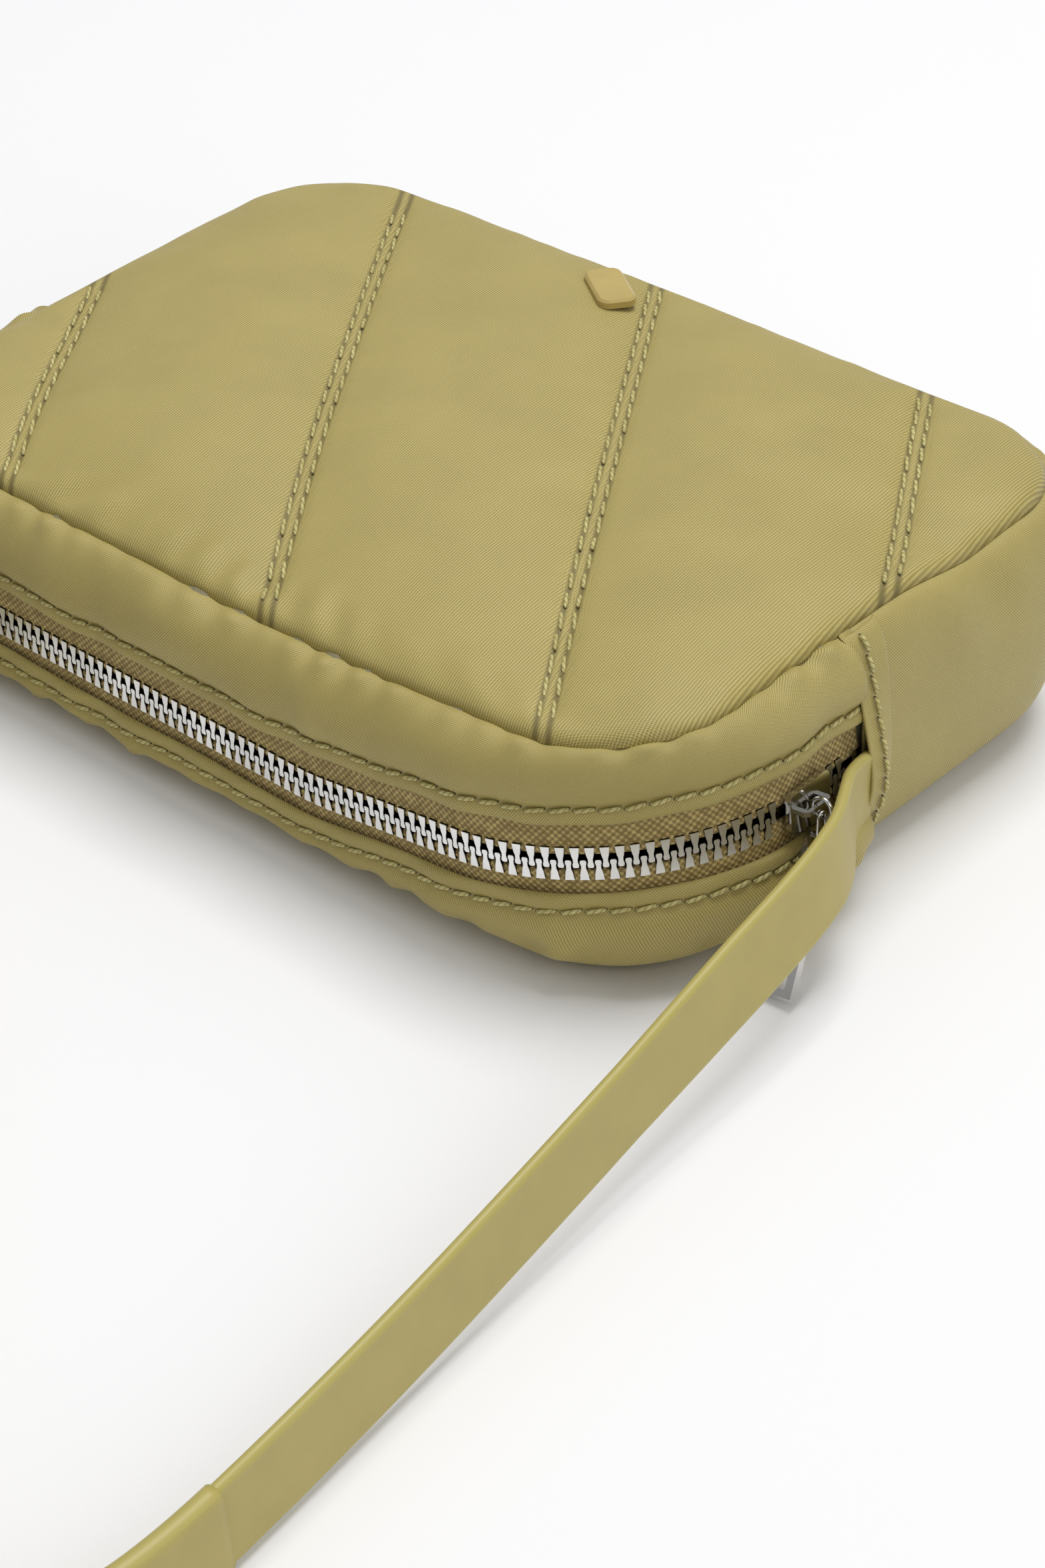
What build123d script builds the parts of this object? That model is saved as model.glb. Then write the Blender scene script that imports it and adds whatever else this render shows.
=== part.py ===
from build123d import *
import os
from math import cos, sin, tan, radians, pi

# Quilted crossbody purse lying on its back: +Z up, X along the purse, the zip on the -Y side.
# All sizes are in millimetres.

# ---- overall sizes -------------------------------------------------------------------------
ZIP_HALF_X = 107.0          # middle of the purse to the zip line, along X
ZIP_HALF_Y = 71.0           # middle of the purse to the zip line, along Y
ZIP_CORNER_R = 42.0         # corner of the zip line, in its own plane
FAR_CORNER_R = 30.0         # corners of the side away from the zip
WALL_TOP_Z = 46.8           # top edge of the side walls
WALL_LOW_Z = 4.3            # bottom edge of the side walls
CLOTH = 0.8                 # outer cloth
LINING = 0.7                # lining cloth
GAP = 0.3                   # air between neighbouring pieces

# ---- panels --------------------------------------------------------------------------------
PANEL_IN_X = 5.0            # zip line to the panels' seams, along X and Y
PANEL_IN_Y = 4.0
PANEL_HALF_X = ZIP_HALF_X - PANEL_IN_X
PANEL_HALF_Y = ZIP_HALF_Y - PANEL_IN_Y
PANEL_R = 26.0
FRONT_RISE = 7.4            # side wall to the crown of the front panel
FRONT_ROUND = 4.5
FRONT_PAD = 4.4             # wadding under the quilting
BACK_RISE = 4.0
BACK_ROUND = 2.2
BACK_PAD = 1.5              # stiffener in the back
BINDING_T = 1.3             # strip that binds the raw seam edges inside
BINDING_W = 6.5

# ---- zip -----------------------------------------------------------------------------------
END_SEAM_Y = -11.6          # seam that joins the zip gusset to the plain gusset
SEAM_HALF_GAP = 0.8
ZIP_RIGHT_Z = 28.8          # height of the zip line at the right end
ZIP_MID_Z = 18.0            # height of the zip line along the slack middle
ZIP_TILT = 8.0              # degrees, slope of the zip line at the right end
ZIP_BEND_R = 60.0           # bend from the slope to the level part
TAPE_EDGE = 3.35            # zip line to the beaded edge of each tape
TAPE_OUT = 13.0
TAPE_T = 0.8
FACING_UP = 8.0             # zip line to the folded edge of the upper facing
FACING_DOWN = 5.9           # zip line to the folded edge of the lower facing
PITCH = 2.54
TOOTH_T = 2.2
TOOTH_FOOT = 3.2            # zip line to the foot of a tooth
TOOTH_OUTLINE = [(-0.75, 0.34), (-0.52, 0.55), (-0.06, 0.55), (0.28, 0.42), (0.95, 0.42),
                 (1.6, 0.62), (TOOTH_FOOT, 0.84)]
STOP_LENGTH = 2.4
STOP_T = 2.6

# ---- slider and pull -----------------------------------------------------------------------
SLIDER_HALF = 5.6           # half of the slider's length
SLIDER_WIDE = 4.6           # half width at the mouth
SLIDER_NARROW = 3.7         # half width at the tail
PLATE_IN = 1.5              # zip line to the inside of each plate
PLATE_T = 1.2
LIP_GAP = 0.95              # half of the slot that the tape runs in
LIP_IN = 3.0
LIP_FROM = 1.5              # slider's middle to the start of its side lips
LIP_INSET = 0.5
SLIDER_ROUND = 1.2
POST_HALF_W = 1.1
POST_INSET = 0.4
POST_END = 1.2              # slider's middle to the tip of the dividing post
BRIDGE_CLEAR = 1.3
BRIDGE_T = 0.8
BRIDGE_HALF_W = 0.5
BRIDGE_HALF_L = 3.6
BRIDGE_POST = 1.1
RING_R = 1.95
WIRE_R = 0.4
LINK_R = 1.05
LINK_RUN = 3.9
PULL_LENGTH = 28.8
PULL_TOP_HALF = 2.3
PULL_LOW_HALF = 4.0
PULL_BAR = 1.5
PULL_T = 1.9
PULL_PIN_R = 0.5
PULL_EYE = 2.6              # pull's hinge to the lower end of its eye
PULL_EYE_TOP = 1.2
PULL_EYE_WALL = 0.75
PULL_PIN_INSET = 0.25
PULL_BRACE = 19.5           # pull's hinge to its small cross bar
PULL_BACK = 39.0            # degrees, lean of the pull along the zip
PULL_OUT = 9.0              # degrees, lean of the pull away from the purse

# ---- strap ---------------------------------------------------------------------------------
STRAP_W = 15.5
STRAP_T = 2.2
STRAP_LIE = 1.2             # height of the strap's lower edge where it lies
ROOT_LENGTH = 5.8
STRAP_BED = 9.5             # length of the dent that the strap presses into the lower facing
STRAP_BED_AIR = 1.2
ROOT_RIGHT_Z = 24.2
ROOT_LEFT_Z = 22.0
BAND_T = 1.0
BAND_LENGTH = 6.6
BAND_INSET = 1.0            # edge of the side wall to the end of the band
SLEEVE_WALL = 1.1
SLEEVE_FROM_Y = -195.5
SLEEVE_TO_Y = -221.0
HANK_LENGTH = 235.0
HANK_W = 27.0
HANK_DIR = (-0.754, 0.657)
HANK_START = (94.0, -239.5)
HANK_INSET = 4.5            # strap's middle to the side of the folded strap
HANK_SHIFT = 18.0           # between the two ends of the folded strap
HANK_LEAD = 13.0            # straight run out of the folded strap
HANK_ROUND = 3.0

# ---- badge ---------------------------------------------------------------------------------
BADGE_AT = (-9.0, 57.0)
BADGE_L = 15.0
BADGE_W = 8.0
BADGE_T = 1.8
BADGE_ROUND = 2.4
BADGE_BEVEL = 0.5
BADGE_TURN = -35.0
PRONG_R = 0.7
PRONG_SPREAD = 4.5
WASHER_R = 2.4
WASHER_T = 0.5

TALL = 80.0                 # taller than the purse, for the solids that trim others
WIDE = 400.0


# ---- helpers -------------------------------------------------------------------------------
def plan_face(grow):
    """Plan outline of the purse at the zip line, grown outwards."""
    face = Rectangle(2 * (ZIP_HALF_X + grow), 2 * (ZIP_HALF_Y + grow))
    near = face.vertices().filter_by(lambda v: v.Y < 0)
    face = fillet(near, ZIP_CORNER_R + grow)
    far = face.vertices().filter_by(lambda v: v.Y > ZIP_HALF_Y + grow - 0.01)
    return fillet(far, FAR_CORNER_R + grow)


def wall(grow_in, grow_out, low, high):
    """Upright wall that follows the plan outline."""
    ring = plan_face(grow_out) - plan_face(grow_in)
    return Pos(0, 0, low) * extrude(ring, high - low)


def block(x0, x1, y0, y1, z0, z1):
    """Box between two corners."""
    return Pos((x0 + x1) / 2, (y0 + y1) / 2, (z0 + z1) / 2) * Box(x1 - x0, y1 - y0, z1 - z0)


def plate(inset, low, high):
    """Flat plate with the panel's outline, drawn in by inset."""
    outline = RectangleRounded(2 * (PANEL_HALF_X - inset), 2 * (PANEL_HALF_Y - inset), PANEL_R - inset)
    return Pos(0, 0, low) * extrude(outline, high - low)


def rounded_plate(inset, low, high, radius, upper):
    """Plate whose upper or lower rim is rounded."""
    body = plate(inset, low, high)
    rim = body.faces().sort_by(Axis.Z)[-1 if upper else 0].edges()
    return fillet(rim, radius)


def step(plane, length):
    """Plane moved along its own normal."""
    return Plane(origin=plane.origin + plane.z_dir * length, x_dir=plane.x_dir, z_dir=plane.z_dir)


def turned(plane, axis, angle):
    """Plane turned about an axis."""
    about = Axis((0, 0, 0), axis.direction)
    arm = plane.origin - axis.position
    return Plane(origin=axis.position + arm.rotate(about, angle),
                 x_dir=plane.x_dir.rotate(about, angle), z_dir=plane.z_dir.rotate(about, angle))


def zip_track():
    """Zip line as straight and curved pieces: (start plane, length, axis, angle).

    Each plane's z runs along the zip, x points out of the purse and y across the tapes.
    """
    tilt = radians(ZIP_TILT)
    start = Plane(origin=(ZIP_HALF_X, END_SEAM_Y - SEAM_HALF_GAP, ZIP_RIGHT_Z),
                  x_dir=(cos(tilt), 0, sin(tilt)), z_dir=(0, -1, 0))
    track = []

    def straight(plane, length):
        track.append((plane, length, None, 0))
        return step(plane, length)

    def bend(plane, axis, angle, radius):
        track.append((plane, radians(angle) * radius, axis, angle))
        return turned(plane, axis, angle)

    side = ZIP_HALF_Y - ZIP_CORNER_R + END_SEAM_Y - SEAM_HALF_GAP
    at = straight(start, side)
    at = bend(at, Axis(at.origin - at.x_dir * ZIP_CORNER_R, at.y_dir * -1), 90, ZIP_CORNER_R)
    drop = at.origin.Z - ZIP_MID_Z
    at = straight(at, drop / sin(tilt) - ZIP_BEND_R * tan(tilt / 2))
    at = bend(at, Axis(at.origin + at.y_dir * ZIP_BEND_R, (0, 1, 0)), ZIP_TILT, ZIP_BEND_R)
    at = straight(at, at.origin.X + ZIP_HALF_X - ZIP_CORNER_R)
    at = bend(at, Axis(at.origin - at.x_dir * ZIP_CORNER_R, at.y_dir * -1), 90, ZIP_CORNER_R)
    straight(at, side)
    return track


TRACK = zip_track()
TRACK_LENGTH = sum(piece[1] for piece in TRACK)


def on_zip(distance):
    """Plane on the zip line at a distance from its right end."""
    left = distance
    for start, length, axis, angle in TRACK:
        if left <= length:
            break
        left -= length
    if axis is None:
        return step(start, left)
    return turned(start, axis, angle * left / length)


def along_zip(out_in, out_out, across_low, across_high):
    """Ribbon that follows the zip line, between two depths and two offsets across it."""
    total = Part()
    for start, length, axis, angle in TRACK:
        middle = Pos((out_in + out_out) / 2, (across_low + across_high) / 2)
        face = start * middle * Rectangle(out_out - out_in, across_high - across_low)
        if axis is None:
            total += extrude(face, length, dir=start.z_dir)
        else:
            total += revolve(face, axis, angle)
    return total


def strap_ribbon(points, radii, thickness, profile, width):
    """Upright ribbon along a plan route; profile gives (y, height of the lower edge)."""
    route = FilletPolyline(*points, radius=radii)
    upright = extrude(trace(route, thickness), TALL)
    low = [(y, z) for y, z in profile]
    high = [(y, z + width) for y, z in reversed(profile)]
    side_view = Plane.YZ * make_face(Polyline(*low, *high, close=True))
    band = extrude(side_view, WIDE, both=True)
    return upright & band


def bend_radii(points):
    """Largest tangent arc that the two runs beside each corner allow."""
    radii = []
    for before, corner, after in zip(points, points[1:], points[2:]):
        first = Vector(*corner) - Vector(*before)
        second = Vector(*after) - Vector(*corner)
        turn = radians(first.get_angle(second))
        radii.append(0.45 * min(first.length, second.length) / tan(turn / 2))
    return radii


# ---- panels --------------------------------------------------------------------------------
parts = {}
front_z = WALL_TOP_Z + GAP
crown_z = front_z + FRONT_RISE
cover = rounded_plate(0, front_z, crown_z, FRONT_ROUND, True)
hollow = rounded_plate(CLOTH, front_z, crown_z - CLOTH, FRONT_ROUND - CLOTH, True)
badge_place = Pos(BADGE_AT[0], BADGE_AT[1], 0) * Rot(0, 0, BADGE_TURN)
prong_spots = [badge_place * Pos(s * PRONG_SPREAD, 0, 0) for s in (-1, 1)]
prong_holes = [spot * Pos(0, 0, crown_z) * Cylinder(PRONG_R + GAP, 4 * FRONT_RISE) for spot in prong_spots]
pad_top = crown_z - CLOTH - GAP
pad_low = pad_top - FRONT_PAD
pad_inset = CLOTH + 2 * GAP
parts["front_panel_cover"] = cover - hollow - prong_holes
wadding = rounded_plate(pad_inset, pad_low, pad_top, FRONT_ROUND - CLOTH, True)
parts["front_panel_wadding"] = wadding - prong_holes
parts["front_panel_lining"] = plate(pad_inset, front_z, front_z + LINING)

back_z = WALL_LOW_Z - GAP
back_cover = rounded_plate(0, back_z - BACK_RISE, back_z, BACK_ROUND, False)
back_hollow = rounded_plate(CLOTH, back_z - BACK_RISE + CLOTH, back_z, BACK_ROUND - CLOTH, False)
stiff_z = back_z - BACK_RISE + CLOTH + GAP / 2
parts["back_panel_cover"] = back_cover - back_hollow
parts["back_panel_stiffener"] = plate(pad_inset + CLOTH, stiff_z, stiff_z + BACK_PAD)
parts["back_panel_lining"] = plate(pad_inset, back_z - LINING, back_z)

# ---- side walls ----------------------------------------------------------------------------
plain_side = block(-WIDE, WIDE, END_SEAM_Y + SEAM_HALF_GAP, WIDE, 0, TALL)
between = block(-WIDE, WIDE, -WIDE, WIDE, WALL_LOW_Z, WALL_TOP_Z)
outside = TAPE_T / 2 + GAP
inside = -TAPE_T / 2 - GAP
reach = WALL_TOP_Z
parts["plain_gusset"] = wall(outside, outside + CLOTH, WALL_LOW_Z, WALL_TOP_Z) & plain_side
parts["plain_gusset_lining"] = wall(inside - LINING, inside, WALL_LOW_Z, WALL_TOP_Z) & plain_side
parts["zip_facing_front"] = along_zip(outside, outside + CLOTH, FACING_UP, reach) & between
parts["zip_facing_back"] = along_zip(outside, outside + CLOTH, -reach, -FACING_DOWN) & between
parts["zip_facing_lining_front"] = along_zip(inside - LINING, inside, FACING_UP, reach) & between
parts["zip_facing_lining_back"] = along_zip(inside - LINING, inside, -reach, -FACING_DOWN) & between

lean = sin(radians(ZIP_TILT)) * (WALL_TOP_Z - ZIP_RIGHT_Z) + LINING + TAPE_T
binding_out = -lean - 2 * GAP
top_binding_z = WALL_TOP_Z - GAP
low_binding_z = WALL_LOW_Z + GAP
binding_in = binding_out - BINDING_T
parts["front_seam_binding"] = wall(binding_in, binding_out, top_binding_z - BINDING_W, top_binding_z)
parts["back_seam_binding"] = wall(binding_in, binding_out, low_binding_z, low_binding_z + BINDING_W)

# ---- zip -----------------------------------------------------------------------------------
parts["zip_tape_front"] = along_zip(-TAPE_T / 2, TAPE_T / 2, TAPE_EDGE, TAPE_OUT) & between
parts["zip_tape_back"] = along_zip(-TAPE_T / 2, TAPE_T / 2, -TAPE_OUT, -TAPE_EDGE) & between

# the strap presses the lower facing and tape in where it leaves the end seam
strap_side = ZIP_HALF_X + outside + CLOTH
strap_bed = block(strap_side, WIDE, END_SEAM_Y - STRAP_BED, 0,
                  ROOT_RIGHT_Z - STRAP_W / 2 - STRAP_BED_AIR, ROOT_RIGHT_Z + STRAP_W / 2)
parts["zip_tape_back"] -= strap_bed
parts["zip_facing_back"] -= strap_bed

rest_at = TRACK[0][1]
half_outline = [(w, t) for w, t in TOOTH_OUTLINE]
tooth_face = make_face(Polyline(*half_outline, *[(w, -t) for w, t in reversed(half_outline)], close=True))
tooth = Pos(0, 0, -TOOTH_T / 2) * extrude(tooth_face, TOOTH_T)
teeth_from = STOP_LENGTH + 2 * PITCH / 2
teeth_to = TRACK_LENGTH - STOP_LENGTH - PITCH
rows = {1: [], -1: []}
count = int((teeth_to - teeth_from) / (PITCH / 2))
for index in range(count):
    place = teeth_from + index * PITCH / 2
    if abs(place - rest_at) < SLIDER_HALF + PITCH / 2:
        continue
    row = 1 if index % 2 else -1
    at = on_zip(place)
    seat = Plane(origin=at.origin, x_dir=at.y_dir * row, z_dir=at.x_dir)
    rows[row].append(tooth.moved(seat.location))
parts["zip_teeth_front"] = Compound(rows[1])
parts["zip_teeth_back"] = Compound(rows[-1])

top_stops = []
for row in (1, -1):
    seat = on_zip(STOP_LENGTH / 2 + GAP)
    middle = row * (TAPE_EDGE - GAP - 1.0)
    stop = Pos(0, middle, 0) * Box(STOP_T, 2.0, STOP_LENGTH)
    top_stops.append(stop.moved(seat.location))
parts["zip_top_stops"] = Compound(top_stops)
foot = on_zip(TRACK_LENGTH - STOP_LENGTH / 2 - GAP)
bottom_stop = Box(STOP_T, 2 * (TAPE_EDGE - GAP), STOP_LENGTH)
parts["zip_bottom_stop"] = bottom_stop.moved(foot.location)

# ---- slider and pull -----------------------------------------------------------------------
SLIDER = on_zip(rest_at)
plate_out = PLATE_IN + PLATE_T
wide_corners = [(-SLIDER_WIDE, -SLIDER_HALF), (SLIDER_WIDE, -SLIDER_HALF)]
narrow_corners = [(SLIDER_NARROW, SLIDER_HALF), (-SLIDER_NARROW, SLIDER_HALF)]
slider_face = make_face(Polyline(*wide_corners, *narrow_corners, close=True))
slider_face = fillet(slider_face.vertices(), SLIDER_ROUND)
LEVEL = Plane(origin=(0, 0, 0), x_dir=(0, 1, 0), z_dir=(1, 0, 0))
outer_plate = extrude(LEVEL * Pos(0, 0, PLATE_IN) * slider_face, PLATE_T)
inner_plate = extrude(LEVEL * Pos(0, 0, -plate_out) * slider_face, PLATE_T)
post = block(-PLATE_IN, PLATE_IN, -POST_HALF_W, POST_HALF_W, -SLIDER_HALF + POST_INSET, -POST_END)
post = chamfer(post.edges().filter_by(Axis.X).group_by(Axis.Z)[-1], POST_HALF_W - 0.2)
lips = []
for across in (-1, 1):
    for depth in (-1, 1):
        near = sorted((across * LIP_IN, across * SLIDER_NARROW))
        deep = sorted((depth * LIP_GAP, depth * PLATE_IN))
        lips.append(block(deep[0], deep[1], near[0], near[1], -LIP_FROM, SLIDER_HALF - LIP_INSET))
slider_body = outer_plate + inner_plate + post + lips
parts["slider_body"] = slider_body.moved(SLIDER.location)

bridge_top = plate_out + BRIDGE_CLEAR + BRIDGE_T
arch = block(plate_out, bridge_top, -BRIDGE_HALF_W, BRIDGE_HALF_W, -BRIDGE_HALF_L, BRIDGE_HALF_L)
arch = chamfer(arch.edges().filter_by(Axis.Y).group_by(Axis.X)[-1], BRIDGE_T)
tunnel = block(0, plate_out + BRIDGE_CLEAR, -TALL, TALL, -BRIDGE_HALF_L + BRIDGE_POST,
               BRIDGE_HALF_L - BRIDGE_POST)
parts["slider_bridge"] = (arch - tunnel).moved(SLIDER.location)

ring_out = plate_out + 0.15 + WIRE_R + RING_R
ring_at = SLIDER.origin + SLIDER.x_dir * ring_out
ring = Torus(RING_R, WIRE_R)
parts["pull_ring"] = Plane(origin=ring_at, x_dir=(1, 0, 0), z_dir=(0, 1, 0)).location * ring

# the link hangs from the ring's lowest point, the pull from the link's lower end
link_top = ring_at - Vector(0, 0, RING_R + 0.1)
link_low = link_top - Vector(0, 0, LINK_RUN)
link_plane = Plane(origin=(link_top + link_low) * 0.5, x_dir=(0, 0, 1), z_dir=(1, 0, 0))
stadium = link_plane * SlotOverall(LINK_RUN + 2 * LINK_R, 2 * LINK_R)
link_path = stadium.face().outer_wire()
link_start = link_path.edges().filter_by(GeomType.LINE)[0]
link_section = Plane(origin=link_start @ 0.5, z_dir=link_start % 0.5) * Circle(WIRE_R)
parts["pull_link"] = sweep(link_section, path=link_path, transition=Transition.RIGHT)

back = radians(PULL_BACK)
out = radians(PULL_OUT)
hang = Vector(0, -sin(back), -cos(back))
pull_down = hang * cos(out) + Vector(sin(out), 0, 0)
pull_across = Vector(cos(out), 0, 0) - hang * sin(out)
pull_at = link_low - Vector(0, 0, 0.05)
PULL = Plane(origin=pull_at, x_dir=pull_across, z_dir=pull_across.cross(pull_down))
low_y = PULL_LENGTH
outer = [(-PULL_TOP_HALF, -PULL_PIN_R), (PULL_TOP_HALF, -PULL_PIN_R), (PULL_LOW_HALF, low_y),
         (-PULL_LOW_HALF, low_y)]
widen = (PULL_LOW_HALF - PULL_TOP_HALF) / PULL_LENGTH


def pull_window(from_y, to_y):
    """Opening between the pull's two long bars."""
    halves = [(PULL_TOP_HALF + widen * y - PULL_BAR) for y in (from_y, to_y)]
    corners = [(-halves[0], from_y), (halves[0], from_y), (halves[1], to_y), (-halves[1], to_y)]
    return extrude(make_face(Polyline(*corners, close=True)), PULL_T, both=True)


window_top = PULL_EYE + PULL_BAR
shank = extrude(make_face(Polyline(*outer, close=True)), PULL_T / 2, both=True)
shank -= pull_window(window_top, PULL_BRACE)
shank -= pull_window(PULL_BRACE + PULL_BAR, low_y - PULL_BAR)
eye_half = PULL_TOP_HALF - PULL_EYE_WALL
shank -= block(-eye_half, eye_half, -PULL_EYE_TOP, PULL_EYE, -PULL_T, PULL_T)
shank += Rot(0, 90, 0) * Cylinder(PULL_PIN_R, 2 * (PULL_TOP_HALF - PULL_PIN_INSET))
pull_frame = PULL.location * shank
parts["pull_frame"] = pull_frame

# ---- end bands and strap roots -------------------------------------------------------------
root_in = outside + CLOTH + GAP
root_out = root_in + STRAP_T
band_out = root_out + GAP + BAND_T
band_from = END_SEAM_Y + SEAM_HALF_GAP / 2
for side, name, middle in ((1, "right", ROOT_RIGHT_Z), (-1, "left", ROOT_LEFT_Z)):
    x0, x1 = sorted((side * ZIP_HALF_X / 2, side * WIDE))
    zone = block(x0, x1, band_from, band_from + BAND_LENGTH, WALL_LOW_Z + BAND_INSET,
                 WALL_TOP_Z - BAND_INSET)
    band = wall(root_in, band_out, WALL_LOW_Z, WALL_TOP_Z) & zone
    low_z = middle - STRAP_W / 2
    high_z = middle + STRAP_W / 2
    pocket = wall(root_in - 1, root_out + GAP, low_z - GAP, high_z + GAP) & zone
    parts["end_band_" + name] = band - pocket
    a, b = sorted((side * (ZIP_HALF_X + root_in), side * (ZIP_HALF_X + root_out)))
    parts["strap_root_" + name] = block(a, b, END_SEAM_Y + GAP, END_SEAM_Y + ROOT_LENGTH, low_z, high_z)

# ---- strap ---------------------------------------------------------------------------------
strap_x = ZIP_HALF_X + (root_in + root_out) / 2
strap_y = END_SEAM_Y + GAP
hank_start = Vector(*HANK_START, 0)
hank_run = Vector(*HANK_DIR, 0).normalized()
hank_side = Vector(-hank_run.Y, hank_run.X, 0)
hank_end = hank_start + hank_run * HANK_LENGTH + hank_side * HANK_SHIFT
lead_in = hank_start - hank_run * HANK_LEAD
lead_out = hank_end + hank_run * HANK_LEAD
right_route = [(strap_x, strap_y), (strap_x, -17.4), (113.8, -23.6), (117.7, -30.0), (120.5, -39.0),
               (122.1, -51.0), (123.6, -68.0), (125.8, -92.0), (128.8, -124.0), (131.8, -157.0),
               (134.9, -188.0), (136.6, -208.0), (135.8, -223.0), (129.4, -236.5), (117.6, -246.6),
               (lead_in.X, lead_in.Y), HANK_START]
right_low = [(0.0, ROOT_RIGHT_Z - STRAP_W / 2), (-17.0, 16.4), (-40.0, 15.8), (-60.0, 13.4),
             (-80.0, 10.8), (-100.0, 8.2), (-128.0, 5.0), (-150.0, 2.6), (-170.0, STRAP_LIE),
             (-WIDE, STRAP_LIE)]
left_route = [(hank_end.X, hank_end.Y), (lead_out.X, lead_out.Y), (-112.4, -77.0), (-117.0, -60.0),
              (-117.4, -43.0), (-114.4, -28.0), (-strap_x, -19.0), (-strap_x, strap_y)]
left_low = [(0.0, ROOT_LEFT_Z - STRAP_W / 2), (-18.0, 12.8), (-34.0, 8.6), (-52.0, 4.4),
            (-70.0, 2.0), (-88.0, STRAP_LIE), (-WIDE, STRAP_LIE)]
print("right strap radii", [round(r, 1) for r in bend_radii(right_route)])
print("left strap radii", [round(r, 1) for r in bend_radii(left_route)])
right_run = strap_ribbon(right_route, bend_radii(right_route), STRAP_T, right_low, STRAP_W)
left_run = strap_ribbon(left_route, bend_radii(left_route), STRAP_T, left_low, STRAP_W)
parts["strap_front_run"] = right_run
parts["strap_back_run"] = left_run

sleeve_zone = block(0, WIDE, SLEEVE_TO_Y, SLEEVE_FROM_Y, 0, TALL)
sleeve_room = STRAP_T + 2 * GAP
sleeve_outer = strap_ribbon(right_route, bend_radii(right_route), sleeve_room + 2 * SLEEVE_WALL,
                            [(0.0, 0.0), (-WIDE, 0.0)], 2 * STRAP_LIE + STRAP_W)
sleeve_inner = strap_ribbon(right_route, bend_radii(right_route), sleeve_room,
                            [(0.0, STRAP_LIE - GAP), (-WIDE, STRAP_LIE - GAP)], STRAP_W + 2 * GAP)
parts["strap_sleeve"] = (sleeve_outer - sleeve_inner) & sleeve_zone

hank_plane = Plane(origin=hank_start, x_dir=hank_run, z_dir=(0, 0, 1))
hank_outline = Pos(HANK_LENGTH / 2, HANK_W / 2 - HANK_INSET) * Rectangle(HANK_LENGTH, HANK_W)
hank_outline = fillet(hank_outline.vertices(), HANK_ROUND)
parts["strap_hank"] = hank_plane.location * extrude(hank_outline, STRAP_W + 2 * STRAP_LIE)

# ---- badge ---------------------------------------------------------------------------------
badge_z = crown_z + 0.02
badge = extrude(RectangleRounded(BADGE_L, BADGE_W, BADGE_ROUND), BADGE_T)
badge = chamfer(badge.faces().sort_by(Axis.Z)[-1].edges(), BADGE_BEVEL)
parts["badge_plate"] = badge_place * Pos(0, 0, badge_z) * badge
prong_low = pad_low - WASHER_T - GAP
prong_length = badge_z - prong_low
prong_mid = prong_low + prong_length / 2
prongs = [spot * Pos(0, 0, prong_mid) * Cylinder(PRONG_R, prong_length) for spot in prong_spots]
parts["badge_prongs"] = Compound(prongs)
washer = Cylinder(WASHER_R, WASHER_T) - Cylinder(PRONG_R + GAP / 3, 2 * WASHER_T)
washers = [spot * Pos(0, 0, pad_low - GAP - WASHER_T / 2) * washer for spot in prong_spots]
parts["badge_washers"] = Compound(washers)

# ---- place in the shared frame and write -----------------------------------------------------
STRAP_NODES = ("strap_root_right", "strap_root_left", "strap_front_run", "strap_back_run",
               "strap_sleeve", "strap_hank")
boxes = [shape.bounding_box() for name, shape in parts.items() if name not in STRAP_NODES]
centre_x = (min(b.min.X for b in boxes) + max(b.max.X for b in boxes)) / 2
centre_y = (min(b.min.Y for b in boxes) + max(b.max.Y for b in boxes)) / 2
floor_z = min(b.min.Z for b in boxes)
home = Pos(-centre_x, -centre_y, -floor_z)
os.makedirs("parts", exist_ok=True)
for name, shape in parts.items():
    export_step(home * shape, "parts/" + name + ".step")

corner_axis = TRACK[1][2]
for label, point in (("moved by", Vector(-centre_x, -centre_y, -floor_z)),
                     ("corner axis", corner_axis.position - Vector(centre_x, centre_y, floor_z)),
                     ("ring axis", SLIDER.origin + SLIDER.x_dir * (plate_out + BRIDGE_CLEAR + BRIDGE_T / 2)
                      - Vector(centre_x, centre_y, floor_z)),
                     ("link axis", link_top + Vector(0, 0, 0.1) - Vector(centre_x, centre_y, floor_z)),
                     ("pull axis", pull_at - Vector(centre_x, centre_y, floor_z)),
                     ("pull across", pull_across), ("corner direction", corner_axis.direction)):
    print(label, [round(value, 4) for value in (point.X, point.Y, point.Z)])
print("strap run lengths", [round(FilletPolyline(*r, radius=bend_radii(r)).length, 1)
                            for r in (right_route, left_route)])
print("lowest pull point", round(pull_frame.bounding_box().min.Z - floor_z, 2))
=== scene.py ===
import bpy
import numpy as np
from mathutils import Matrix, Vector
from mathutils.bvhtree import BVHTree


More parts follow.
